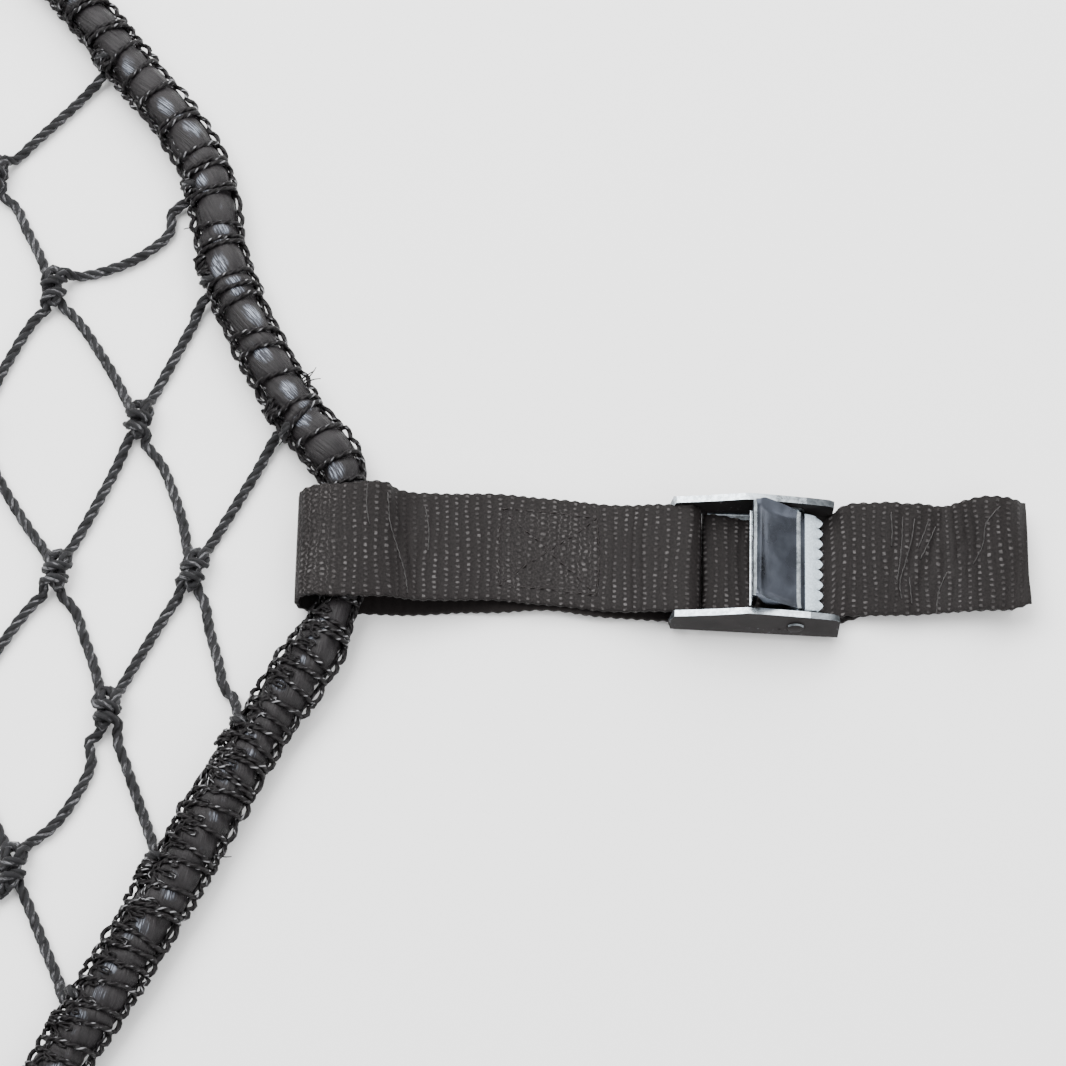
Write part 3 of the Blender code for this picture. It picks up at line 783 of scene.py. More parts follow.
def plating_finish(name, color, roughness, mottle, cloud=0.12, scratches=0.35):
    """Zinc plating: a mottled film over brushed steel, with fine scratches and clouds."""
    n = Nodes(name, color, roughness, metallic=1.0)
    place = n.place()
    film = n.noise(place, 1050.0, 3.0, 0.7)
    clouds = n.noise(place, 150.0, 2.0)
    drawn = n.add("ShaderNodeMapping", {"Vector": place, "Scale": (60.0, 1500.0, 60.0)})
    tone = n.blend(film.ramp(0.40, 0.60) * mottle, color, tint(color, 0.30))
    tone = n.blend(clouds.ramp(0.42, 0.64, 0.0, cloud), tone, tint(color, 2.0))
    return n.surface(tone, n.noise(drawn, 1.0, 2.0) * scratches + film * 0.3, 0.25, 0.0002,
                     clouds.ramp(0.3, 0.7, roughness * 0.75, roughness * 1.4))


def tooth_finish(color):
    """The tooth strip: freshly cut, frosty and nearly white."""
    n = Nodes("tooth plating", color, 0.48, metallic=0.45)
    frost = n.noise(n.place(), 2600.0, 3.0, 0.7)
    tone = n.blend(frost.ramp(0.42, 0.62), tint(color, 0.82), tint(color, 1.15))
    return n.surface(tone, frost, 0.2, 0.0001)


def dark_reflection_finish(color):
    """The buckle's broad plated faces, painted nearly black as their dark reflection and shade,
    with small light specks.
    """
    # Painted reflection and shade: the plated faces are coloured nearly black for the dark
    # surroundings that they mirror.
    n = Nodes("dark reflection plating", color, 0.6, specular=0.06)
    clouds = n.noise(n.place(), 140.0, 3.0)
    specks = n.noise(n.place(), 1600.0, 2.0)
    tone = n.blend(clouds.ramp(0.35, 0.65), tint(color, 0.7), tint(color, 1.3))
    tone = n.blend(specks.ramp(0.66, 0.74) * clouds.ramp(0.54, 0.66), tone, (0.15, 0.155, 0.17))
    return n.surface(tone, specks, 0.15, 0.0001, clouds.ramp(0.3, 0.7, 0.5, 0.65))


def floor_finish(tone):
    n = Nodes("floor", (tone,) * 3, 0.9, specular=0.1)
    paper = n.noise(n.place(), 40.0, 4.0)
    n.feed("Base Color", n.blend(paper, *((min(1.0, tone * share),) * 3 for share in (0.99, 1.01))))
    return n.material


FINISHES = {}


# Net and border


def knot_frame(u, v):
    """A knot's middle, and unit vectors rightwards and upwards as its bars lie."""
    here = grid_point(u, v)
    above, beside, below, aside = (
        (grid_point(*q) - here).normalized()
        for q in ((u + 1, v), (u, v - 1), (u - 1, v), (u, v + 1)))
    up = (above + beside - (below + aside)).normalized()
    return here - CENTRE, Vector((up.y, -up.x)), up


def knot_rows(u, v, kind, chance):
    """The cord's way through a knot, entering on the right and leaving on the left."""
    middle, right, up = knot_frame(u, v)
    skew = chance.uniform(-0.16, 0.16)
    right, up = Vector(turned(right, skew)), Vector(turned(up, skew))
    if kind == "hitch" and (u * 3 + v * 5) % 2:
        rows = [(-x, y, z, size) for x, y, z, size in HITCH]
    else:
        rows = list(HITCH)[::-1] if kind == "hitch" else list(BIGHT)
    stretch = chance.uniform(0.92, 1.04)
    for x, y, z, size in rows:
        p = middle + right * (x * chance.uniform(0.93, 1.05))
        p += up * (y * stretch + chance.uniform(-0.2, 0.2))
        yield (p.x, p.y, z + chance.uniform(-0.12, 0.12), size)


def bar_rows(first, last, radius):
    """The cord between two knots or lashings: where it leaves the one, its bowed middle, and where
    it reaches the other."""
    a, b = grid_point(*first) - CENTRE, grid_point(*last) - CENTRE
    kind = "u" if first[1] == last[1] else "v"
    forward = first < last
    start = first if forward else last
    run = (b - a).normalized()
    side = Vector((-run.y, run.x)) * (1 if forward else -1) * bow(kind, *start)
    quarter = run * MESH_BAR / 4.6
    middle = (a + b) / 2
    places = ((a + run * exit_length(first, last), 0.05), (middle - quarter, 0.72), (middle, 1.0),
              (middle + quarter, 0.72), (b - run * exit_length(last, first), 0.05))
    return [(*(place + side * share), radius + 0.3 - 0.2 * share, 1.0) for place, share in places]


def exit_length(knot, other):
    above = other[0] > knot[0] or other[1] < knot[1]
    return EXIT_ABOVE if above else EXIT_BELOW


def lashing_rows(place, route, towards, chance):
    """The cord's end: along its own line to the border rope, once round the rope's inner edge, and
    in under the sewing."""
    spot = grid_point(*place) - CENTRE
    slant = (towards - spot).normalized()
    left = route.at(route.nearest(spot.x, spot.y))[1]
    steep = max(0.5, slant.dot(left))
    rows = []
    for reach, z in ((9.0, 1.6), (7.2, 1.8)):
        p = spot + slant * reach / steep
        rows.append((p.x, p.y, z, 1.0))
    edge = spot + slant * 5.4 / steep
    s = route.nearest(edge.x, edge.y)
    way = 1 if chance.random() < 0.5 else -1
    for x, y, z, size in ((0.0, 6.0, -2.2, 0.95), (0.5, 4.8, -3.1, 0.85), (1.2, 3.4, -0.8, 0.8),
                          (1.6, 4.4, 2.8, 0.8), (2.1, 5.9, 1.2, 0.85), (2.6, 5.0, -1.6, 0.8),
                          (3.0, 3.2, -1.0, 0.7), (3.1, 2.0, 0.0, 0.6)):
        rows.append((*route.point(s + way * x, y, z), size))
    return rows


def twine_nodes(row):
    """The knots that one twine joins, zigzag between two rows, with a lashing at each end."""
    nodes, path = [], []
    u, v = max(0, row), max(0, -row)
    while u <= CELLS and v <= CELLS:
        path += [(u, v), (u + 1, v)]
        u, v = u + 1, v + 1
    for a, b in zip(path, path[1:]):
        on_side = a[1] if a[1] == b[1] else a[0]
        if 0 < on_side < CELLS and max(b) <= CELLS:
            nodes += [a, b] if not nodes else [b]
    return nodes


def twine_line(row, route, settings):
    chance = random.Random(70 + row)
    nodes = twine_nodes(row)
    radius = settings.cord / 2
    points = lashing_rows(nodes[0], route, grid_point(*nodes[1]) - CENTRE, chance)[::-1]
    for k, (a, b) in enumerate(zip(nodes, nodes[1:])):
        rows = bar_rows(a, b, radius)
        if k == 0:
            rows = rows[1:]
        if k == len(nodes) - 2:
            rows = rows[:-1]
        points += rows
        if k < len(nodes) - 2:
            kind = "bight" if b[0] - b[1] == row else "hitch"
            points += knot_rows(*b, kind, chance)
    points += lashing_rows(nodes[-1], route, grid_point(*nodes[-2]) - CENTRE, chance)
    return smooth_line(points, settings.step)


class CARGONET_OT_tie_twines(bpy.types.Operator):
    """Tie the laid cord into meshes and lash it to the border"""

    bl_idname = "cargo_net.tie_twines"
    bl_label = "Tie Twines"

    def execute(self, context):
        settings = context.scene.cargo_net.net
        route = Route()
        outline = three_strand_outline(settings.cord / 2)
        for part, name in enumerate(("net_twines_even", "net_twines_odd")):
            lines = [twine_line(row, route, settings)
                     for row in range(1 - CELLS, CELLS - 1) if row % 2 == part]
            bm = run_outline(lines, outline, lay=settings.lay)
            finished(name, bm, [FINISHES["cord"]], replaces=["net_mesh"])
        return {"FINISHED"}


PAIR_STEP = 1.15  # from one thread of a stitch to its twin
CORE_SIDES = 20
OVER_REACH, UNDER_REACH = 5.15, 5.1  # how far out the rungs go above and below the rope's middle
STANDING_REACH, HUGGING_REACH = 5.0, 4.5  # and the two threads along each edge
TANGLE_LEAD, TANGLE_TRAIL = 12.0, 130.0  # the tangled stretch on either side of the line's start


def tangle(route, s):
    """How much loose thread lies over the rope at a place: much along the side below the
    photographed corner, hardly any above that corner, and more or less by turns elsewhere."""
    s %= route.length
    if s < TANGLE_LEAD or s > route.length - TANGLE_TRAIL:
        return 1.0
    return (1 - hump(s, 0.0, 190.0, 4)) * max(0.0, sin(s / 61.0))


class Sewing:
    """The border's oversewing: for each stitch its place along the rope, its slant, the gap to the
    next one, how full the core is after it, and the patch of painted highlight there as strength,
    share of the gap and place across."""

    def __init__(self, pitch):
        chance = random.Random(7)
        self.route = route = Route()
        self.places, self.slants, self.fullness, self.patches = [], [], [], []
        s = 0.0
        while s < route.length - 0.5 * pitch:
            slant = 0.05 + chance.uniform(-0.27, 0.27)
            for _ in range(1 if chance.random() < 0.75 else 2):
                self.places.append(s)
                self.slants.append(slant)
                self.fullness.append(chance.uniform(0.92, 1.04))
                # Painted highlight: each panel's patch of painted light, as strength, share of the
                # gap and place across.
                self.patches.append((chance.choice((0.0, 0.25, 0.7, 0.9, 1.0)),
                                     chance.uniform(0.3, 0.75), chance.uniform(-1.9, 1.9)))
                s += PAIR_STEP
            size = chance.choice((0.60, 0.80, 1.0, 1.25, 1.5)) * chance.uniform(0.92, 1.08)
            s += max(2.2, pitch * size * (1 - 0.3 * tangle(route, s)) - PAIR_STEP)
        self.gaps = [b - a for a, b in zip(self.places, [*self.places[1:], route.length])]

    def between(self, s, y):
        """The last stitch before a place, and the place's share of the way to the next one."""
        s %= self.route.length
        s = (s + self.slants[bisect_right(self.places, s) - 1] * y) % self.route.length
        i = bisect_right(self.places, s) - 1
        return i, (s - self.places[i]) / max(0.1, self.gaps[i])

    def swell(self, s, y):
        """How full the core is at a place: pinched under a stitch, swollen between two."""
        i, t = self.between(s, y)
        return self.fullness[i] * (0.85 + 0.17 * max(0.0, sin(pi * t)) ** 0.6)

    def shine(self, s, y):
        """How much painted highlight a place between two stitches gets."""
        i, t = self.between(s, y)
        strength, middle, side = self.patches[i]
        strength *= 1 - 0.35 * tangle(self.route, s)
        return strength * hump(t, middle, 0.32) * hump(y, side, 1.5)

    def row(self, s, y, z, size=1.0):
        return (*self.route.point(s, y, z), size)


class CARGONET_OT_lay_border(bpy.types.Operator):
    """Lay the border rope's core, pinched into soft lumps by its oversewing"""

    bl_idname = "cargo_net.lay_border"
    bl_label = "Lay Border Rope"

    def execute(self, context):
        settings = context.scene.cargo_net.border
        sewing = Sewing(settings.pitch)
        route = sewing.route
        turns = [-2 * pi * k / CORE_SIDES for k in range(CORE_SIDES)]
        outline = [(settings.width / 2 * cos(a), settings.height / 2 * sin(a)) for a in turns]
        line = [(x, y, max(0.0, lift) + size * ROPE_HEIGHT / 2, size)
                for x, y, _, lift, size in route.rows]
        bm = run_outline([line], outline, closed=True, upright=True)
        bm.verts.ensure_lookup_table()
        panel = bm.verts.layers.float.new("panel")
        step = route.length / len(line)
        for ring, (x, y, middle, size) in enumerate(line):
            s = ring * step
            left = route.at(s)[1]
            for vert in bm.verts[ring * CORE_SIDES:(ring + 1) * CORE_SIDES]:
                offset = Vector((vert.co.x / MM - x, vert.co.y / MM - y))
                across, up = offset.dot(left), vert.co.z / MM - middle
                lobes = 0.035 * cos(3 * atan2(up, across) + s / 4.0)
                full = sewing.swell(s, across) * (1 + lobes)
                p = Vector((x, y)) + left * (across * full - route.shift(s, size))
                vert.co = Vector((p.x, p.y, middle + up * full)) * MM
                # The panel attribute holds the painted highlight that the rope's finish lays over
                # the core.
                vert[panel] = sewing.shine(s, across)
        finished("border_rope_core", bm, [FINISHES["rope"]],
                 replaces=["border_rope"])
        return {"FINISHED"}


def rungs(sewing, settings):
    """One thread wound round the rope: straight across above, and slanting on below."""
    chance = random.Random(21)
    rows = []
    half = settings.height / 2 * 0.80 + settings.thread * 0.42
    for s, slant, gap in zip(sewing.places, sewing.slants, sewing.gaps):
        for k in range(8):
            a = pi * k / 7
            y = OVER_REACH * cos(a)
            x = s - slant * y + chance.uniform(-0.2, 0.2)
            rows.append(sewing.row(x, y, half * sin(a) ** 0.75 + 0.1))
        for k in range(1, 5):
            a = pi * (1 + k / 5)
            y = UNDER_REACH * cos(a)
            rows.append(sewing.row(s + gap * k / 5 - slant * y, y, -half * abs(sin(a)) ** 0.75))
    return [smooth_line(rows, 1.0)]


def edges(sewing):
    """Along each edge, a thread that hugs the rope and one that stands off it between stitches."""
    chance = random.Random(5)
    lines = []
    for side in (1, -1):
        hugging, standing = [], []
        for s, slant, gap in zip(sewing.places, sewing.slants, sewing.gaps):
            start = s - slant * side * 4.6
            full = min(1.0, gap / 3.5) * min(1.0, sewing.route.at(start)[3]) ** 8
            off = chance.uniform(0.45, 1.15) * full
            lift = chance.uniform(-0.7, 0.4)
            if gap > 4.4:
                arch = ((0.0, 0.0), (0.15, 0.8), (0.32, 0.9), (0.48, 0.1), (0.64, 0.9), (0.85, 0.8))
            elif gap > 2:
                arch = ((0.0, 0.0), (0.25, 0.85), (0.5, 1.0), (0.75, 0.85))
            else:
                arch = ((0.0, 0.0),)
            for t, out in arch:
                x = start + gap * t
                y = STANDING_REACH + off * out + chance.uniform(-0.1, 0.1)
                standing.append(sewing.row(x, side * y, 0.1 + lift * out, 1.25))
                y = HUGGING_REACH - chance.uniform(0.0, 0.3) * out
                hugging.append(sewing.row(x + 0.3, side * y, chance.uniform(-0.4, 0.6) - 0.5, 1.1))
        lines += [smooth_line(rows + rows[:1], 0.95) for rows in (hugging, standing)]
    return lines


def clumps(route):
    """Tight turns of thread over the end of every bar, round the rope's inner edge."""
    chance = random.Random(17)
    lines = []
    places = [(k, side) for side in (0, CELLS) for k in range(1, CELLS)]
    for place in places + [(side, k) for k, side in places]:
        spot = grid_point(*place) - CENTRE
        start = route.nearest(spot.x, spot.y) + chance.uniform(-1.5, 1.5)
        reach, wide = chance.uniform(1.8, 2.4), chance.uniform(1.4, 1.8)
        length = chance.uniform(3.6, 5.6)
        rows = []
        for k in range(49):
            a = 2 * pi * k / 8
            y = 4.75 + wide * cos(a) * chance.uniform(0.85, 1.12)
            z = 0.4 + reach * sin(a) * chance.uniform(0.88, 1.08)
            x = length * (k / 48 - 0.5) + 0.7 * sin(k * 0.9 + start)
            rows.append((*route.point(start + x, y, z), 1.0))
        lines.append(smooth_line(rows, 0.9))
    return lines


def lacing(sewing, settings, seed, pitch):
    """A thread that loops over the rope's top where the sewing is tangled, and elsewhere runs
    along its inner edge."""
    chance = random.Random(seed)
    rows = []
    length = sewing.route.length
    count = int(length / pitch)
    for k in range(count):
        share = tangle(sewing.route, k * length / count)
        spread = 0.12 + share * chance.uniform(1.0, 2.5)
        middle = 3.7 - share * chance.uniform(1.2, 3.0)
        for j in range(7):
            turn = 2 * pi * j / 7
            s = (k + j / 7) * length / count + 1.2 * share * sin(turn)
            y = middle + spread * cos(turn)
            full = sewing.swell(s, y)
            reach = min(0.97, abs(y) / (settings.width / 2 * full + 0.6))
            top = settings.height / 2 * full * sqrt(1 - reach**2) - 1.4 * (1 - share)
            rows.append(sewing.row(s, y, top + settings.thread * 0.22))
    return smooth_line(rows, 0.95)


class CARGONET_OT_oversew_border(bpy.types.Operator):
    """Sew thread over and under the border rope, with a chained edge along both sides"""

    bl_idname = "cargo_net.oversew_border"
    bl_label = "Oversew Border"

    def execute(self, context):
        settings = context.scene.cargo_net.border
        sewing = Sewing(settings.pitch)
        laces = [lacing(sewing, settings, seed, pitch) for seed, pitch in ((9, 3.3), (4, 4.6))]
        for name, lines, size in (
            ("oversewing_rungs", rungs(sewing, settings), 1.0),
            ("oversewing_edges", edges(sewing), 0.8),
            ("inner_lacing", laces, 0.62),
            ("bar_lashings", clumps(sewing.route), 0.76),
        ):
            bm = run_outline(lines, round_outline(settings.thread / 2 * size, 6))
            finished(name, bm, [FINISHES["thread"]])
        return {"FINISHED"}


# Webbing


class Band:
    """A band of webbing from its path in side view, for points by length, breadth and height."""

    def __init__(self, path, closed, creases, tuck=0.0):
        self.closed, self.creases, self.tuck = closed, creases, tuck
        self.dim = 11.5 if closed else 143.5  # where the band turns away from the light
        places = [(x, 0, z, lead, lift, drift) for x, z, lead, lift, drift in path]
        rows = smooth_line(places, 0.5, closed)
        self.rows = rows + rows[:1] if closed else rows
        self.lengths = [0.0]
        for a, b in zip(self.rows, self.rows[1:]):
            self.lengths.append(self.lengths[-1] + dist(a[:3], b[:3]))
        self.length = self.lengths[-1]

    def at(self, s):
        """Place, lead and lift of the far edge, sideways drift, and outward normal at length s."""
        s = s % self.length if self.closed else max(0.0, min(self.length, s))
        i = min(bisect_right(self.lengths, s) - 1, len(self.rows) - 2)
        t = (s - self.lengths[i]) / max(1e-9, self.lengths[i + 1] - self.lengths[i])
        a, b = self.rows[i], self.rows[i + 1]
        x, _, z, lead, lift, drift = (p + (q - p) * t for p, q in zip(a, b))
        run = Vector((b[0] - a[0], b[2] - a[2])).normalized()
        return x, z, lead, lift, drift, Vector((-run.y, run.x))

    def point(self, s, share, height):
        """share runs from -1 on the near edge to 1 on the far one; height is off the middle."""
        s += 0.28 * (sin(s * 0.21 + 2.1 * share) + 0.6 * sin(s * 0.47 - 3.3 * share))
        x, z, lead, lift, drift, normal = self.at(s)
        y = share * WEB_WIDTH / 2
        if normal.y > 0 and share > 0:
            y -= self.tuck * share**3 * hump(x, TUCK_X, 5.0, 4)
        if normal.y > 0.2:
            for cx, cy, rx, ry, high, broad, long in self.creases:
                size = hypot(rx, ry)
                off = ((x - cx) * ry - (y - cy) * rx) / size
                on = ((x - cx) * rx + (y - cy) * ry) / size
                height += high * hump(off, 0.0, broad) * hump(on, 0.0, long, 4)
        return (x + share * lead / 2 + normal.x * height, drift + y,
                z + share * lift / 2 + normal.y * height)

    def row(self, matrix, s, y, height):
        """A row for a thread's line that lies y off the band's middle."""
        p = matrix @ (Vector(self.point(s, y / (WEB_WIDTH / 2), height)) * MM) / MM
        return (*p, 1.0)

    def press(self, x, y, z):
        """How far the weave is opened or disturbed: round the tab's fold and where it is sewn."""
        if not self.closed:
            return 0.0
        fold = hump(x, -11.0, 8.0) if z > 4 else 0.0
        return min(1.0, 0.75 * fold + 0.42 * hump(x, 42.0, 12.5, 6) * hump(y, 1.5, 11.0, 8))

    def length_at(self, x):
        """The length where the band's upper layer passes x."""
        for a, b, start, end in zip(self.rows, self.rows[1:], self.lengths, self.lengths[1:]):
            if (a[0] - x) * (b[0] - x) <= 0 < b[0] - a[0]:
                return start + (end - start) * (x - a[0]) / (b[0] - a[0])
        raise ValueError(f"the band doesn't pass {x}")


def thicken(obj, thickness, edge, angle):
    """Gives a sheet its thickness about its middle, and rounds its edges."""
    solid = obj.modifiers.new("thickness", "SOLIDIFY")
    solid.thickness, solid.offset, solid.material_offset = thickness * MM, 0, 1
    soft = obj.modifiers.new("soft edge", "BEVEL")
    soft.width, soft.segments = edge * MM, 2
    soft.limit_method, soft.angle_limit = "ANGLE", radians(angle)
    return solid, soft


RIB_STEPS, BAND_COLUMNS = 5, 14


def weave_band(name, band, settings, matrix, replaces):
    """A ribbed strip: a grid bent along the band, with ribs across it and a scalloped edge."""
    ribs = round(band.length / settings.rib)
    bm = bmesh.new()
    bmesh.ops.create_grid(bm, x_segments=ribs * RIB_STEPS, y_segments=BAND_COLUMNS, size=0.5,
                          calc_uvs=False)
    layer = bm.loops.layers.uv.new("UVMap")
    press = bm.verts.layers.float.new("press")
    shadow = bm.verts.layers.float.new("shadow")
    for face in bm.faces:
        face.smooth = True
        for loop in face.loops:
            x, y, _ = loop.vert.co
            loop[layer].uv = ((x + 0.5) * ribs * settings.rib * MM, y * WEB_WIDTH * MM)
    for vert in bm.verts:
        s, share = (vert.co.x + 0.5) * band.length, vert.co.y * 2
        share = copysign(min(1.0, abs(share) ** 0.9), share)
        at_edge = abs(share) > 0.99
        wave = cos(2 * pi * s * ribs / band.length)
        height = settings.relief * wave * (0.4 if at_edge else 1)
        edge = 0.996 + (0.012 * wave if at_edge else 0.0)
        x, y, z = band.point(s, share * edge, height)
        vert[press] = band.press(x, y, z)
        # Painted shade: dims the crowns' painted highlights where the upper layer turns away from
        # the light.
        vert[shadow] = 0.85 * hump(x, band.dim, 2.6) if z > 4 else 0.0
        y += 0.12 * sin(s * 0.31) * abs(share)
        vert.co = matrix @ (Vector((x, y, z)) * MM)
    if band.closed:
        bmesh.ops.remove_doubles(bm, verts=bm.verts, dist=2e-6)
    bmesh.ops.recalc_face_normals(bm, faces=bm.faces)
    finishes = [FINISHES["webbing"], FINISHES["inside" if band.closed else "webbing"]]
    obj = finished(name, bm, finishes, replaces=replaces)
    thicken(obj, settings.thickness, 0.28, 60)
    return obj


def arc(x, z, radius, start, end, steps):
    for k in range(steps + 1):
        a = radians(start + (end - start) * k / steps)
        yield (x + radius * cos(a), z + radius * sin(a), 0.0, 0.0, 0.0)


def tab_band():
    path = [*TAB_SHAPE, *arc(BAR_X, BAR_Z, BAR_WRAP, 120, -110, 7), *TAB_FOOT]
    return Band(path, True, TAB_CREASES)


def strap_band():
    middle = (WEB_THICK / 2 + STRAP_OVER) / 2
    back = arc(FOLD_X, middle, STRAP_OVER - middle, -90, -270, 6)
    return Band([*LOADED_SHAPE, *back, *TAIL_SHAPE], False, TAIL_CREASES, tuck=0.6)


# Yarns that a fold has lifted, along the upper side of the band: the x, y that each runs through
TAB_YARNS = (
    ((7.4, 10.5), (8.2, 4.0), (9.6, -1.5), (10.8, -6.0), (11.6, -10.5)),
    ((15.2, 10.0), (15.9, 4.0), (16.0, 0.0)),
    ((3.6, 12.0), (3.4, 7.0), (4.0, 3.0)),
)
TAIL_YARNS = (
    ((115.6, 12.5), (115.9, 8.0), (115.7, 5.0)),
    ((118.0, 11.8), (117.8, 6.0), (117.2, 0.5), (116.6, -3.0)),
    ((120.2, 11.4), (119.8, 7.0), (118.6, 1.5), (117.4, -3.5), (117.9, -6.5)),
    ((123.2, 11.4), (122.3, 8.0), (121.4, 5.2)),
    ((125.0, 10.5), (123.6, 6.5), (122.0, 2.6)),
    ((127.4, 0.0), (125.6, -4.5), (124.9, -9.6)),
    ((139.0, 13.6), (136.0, 9.6), (135.0, 5.0), (133.0, 1.2)),
    ((119.6, -1.6), (120.0, -7.4)),
)


# The tab's stitching, as the corners that it runs through
BOX_LEFT, BOX_RIGHT, BOX_HALF = 31.5, 52.5, 9.0
BOX = [(BOX_LEFT, -BOX_HALF), (BOX_RIGHT, -BOX_HALF), (BOX_RIGHT, BOX_HALF), (BOX_LEFT, BOX_HALF)]
STITCH_WAY = (*BOX, BOX[0], BOX[2], BOX[1], BOX[3])


def sew_box(name, tab, matrix):
    """A boxed cross of thread that dips into the tab at every stitch."""
    rows = []
    for (x0, y0), (x1, y1) in zip(STITCH_WAY, STITCH_WAY[1:]):
        steps = round(dist((x0, y0), (x1, y1)) / 0.62)
        for k in range(steps):
            t = k / steps
            s = tab.length_at(x0 + (x1 - x0) * t)
            depth = 0.38 + 0.24 * cos(2 * pi * k / 4)
            rows.append(tab.row(matrix, s, y0 + (y1 - y0) * t, depth))
    bm = run_outline([rows], round_outline(0.22, 6))
    return finished(name, bm, [FINISHES["stitch"]])


def raise_yarns(name, band, yarns, matrix):
    """Thin raised yarns along the creases, with a painted highlight colour so that they show as
    fine light lines.
    """
    lines = []
    for places in yarns:
        rows = []
        for x, y, *_ in smooth_line([(x, y, 0, 0) for x, y in places], 0.8):
            s = band.length_at(x)
            rows.append(band.row(matrix, s, y - band.at(s)[4], 0.56))
        lines.append(rows)
    bm = run_outline(lines, round_outline(0.15, 5))
    return finished(name, bm, [FINISHES["yarn"]])


class CARGONET_OT_weave_webbing(bpy.types.Operator):
    """Weave the tabs round the rope and the straps through the buckles"""

    bl_idname = "cargo_net.weave_webbing"
    bl_label = "Weave Webbing"

    def execute(self, context):
        settings = context.scene.cargo_net.webbing
        for corner, place in CORNER_PLACES.items():
            matrix = place.matrix()
            tab, strap = tab_band(), strap_band()
            sewn = sew_box(f"{corner}_tab_stitching", tab, matrix)
            tab_yarns = raise_yarns(f"{corner}_tab_yarns", tab, TAB_YARNS, matrix)
            strap_yarns = raise_yarns(f"{corner}_strap_yarns", strap, TAIL_YARNS, matrix)
            obj = weave_band(
                f"{corner}_tab_webbing", tab, settings, matrix, [f"{corner}_webbing_tab"])
            obj = weave_band(
                f"{corner}_strap_webbing", strap, settings, matrix, [f"{corner}_threaded_strap"])
        return {"FINISHED"}


# Buckles

FRAME_REAR, FRAME_LONG = 68.5, 35.0
# Top edge of the side walls: x, z
WALL_TOP = ((68.5, 5.2), (68.7, 7.9), (69.2, 8.65), (77.2, 10.0), (82.5, 11.2), (84.2, 11.6),
            (87.5, 11.4), (92.5, 10.8), (98.0, 10.1), (102.4, 9.3), (103.6, 8.5))
# Where the frame's sheet has its cross rows
FRAME_ROWS = (68.5, 68.7, 69.2, 71, 73, 75, 76.2, BASE_REAR, 79, 80.5, 82.0, 83.4, 84.2, 85.4, 87.5,
              90, 92.5, 95, 97.4, 99.2, 101, 102.4, 103.1, 103.6)
BEND = 1.1  # radius of the bend between a wall and the base
WALL_STEPS, BEND_STEPS, FLOOR_COLUMNS = 4, 4, 9
# The frame's finishes: a face's other side takes the one after its own, and its cut edge the one
# after that
# Painted light: the dark faces stand for reflection and shade, the sheet's cut edges are painted
# highlights, the shaded set paints shade on the cut edges it holds, and the foot set is a painted
# highlight line.
WALL_FINISH, SHADED_FINISH, FOOT_HIGHLIGHT = 0, 3, 6
FRAME_FINISHES = ("dull", "dull", "bright", "dull", "dull", "shade", "teeth", "bright", "bright")


def along_rows(rows, x):
    """The second number of rows at x, straight between them."""
    for (x0, z0), (x1, z1) in zip(rows, rows[1:]):
        if x <= x1:
            return z0 + (z1 - z0) * max(0.0, (x - x0) / (x1 - x0))
    return rows[-1][1]


def splay(x, side):
    """How far a wall's foot stands out from its top."""
    return 0.35 if side > 0 else 0.45 + 0.75 * (x - FRAME_REAR) / FRAME_LONG


def bend_frame(settings):
    """The frame's sheet before it has a thickness: a grid bent up into two walls, with the base cut
    away behind the strap's slot."""
    floor_z = BASE_LOW + 0.6
    low = floor_z + BEND
    wall_y = WEB_WIDTH / 2 + settings.sheet / 2
    upright, bent = WALL_STEPS, WALL_STEPS + BEND_STEPS
    last_row = len(FRAME_ROWS) - 1
    last = 2 * bent + FLOOR_COLUMNS + 1
    bm = bmesh.new()
    bmesh.ops.create_grid(bm, x_segments=last_row, y_segments=last, size=0.5)
    for vert in bm.verts:
        x = FRAME_ROWS[round((vert.co.x + 0.5) * last_row)]
        c = round((vert.co.y + 0.5) * last)
        side = -1 if c <= last / 2 else 1
        k = min(c, last - c)
        foot = wall_y + splay(x, side)
        if k <= upright:
            rise = 1 - k / upright
            y, z = foot + (wall_y - foot) * rise, low + (along_rows(WALL_TOP, x) - low) * rise
        elif k <= bent:
            a = pi / 2 * (k - upright) / BEND_STEPS
            y, z = foot - BEND + BEND * cos(a), low - BEND * sin(a)
        else:
            y, z = (foot - BEND) * abs(c - last / 2) / (last / 2 - bent), floor_z
        skew = 0.5 * side * y / wall_y * (x - FRAME_REAR) / FRAME_LONG
        vert.co = Vector((x - skew, side * y, z))
    slot = []
    for face in bm.faces:
        x, y, z = face.calc_center_median()
        kept = x > 75 and y > wall_y - BEND  # the far bend reaches on behind the base
        if x < BASE_REAR and z < low - 0.01 and abs(y) < wall_y - 0.1 and not kept:
            slot.append(face)
        # Painted highlight: a pale line along the far wall's foot, where the bend catches the
        # light.
        elif z < low and 10 < y and 76.2 < x < 86:  # the pale line at the far wall's foot
            face.material_index = FOOT_HIGHLIGHT
        # Painted shade: the base's rear part and the walls' right ends take the shaded plating on
        # their cut edges.
        elif (z < low and x < 79) or (z > low and x > 97.4):
            face.material_index = SHADED_FINISH
        else:
            face.material_index = WALL_FINISH
    bmesh.ops.delete(bm, geom=slot, context="FACES")
    return bm


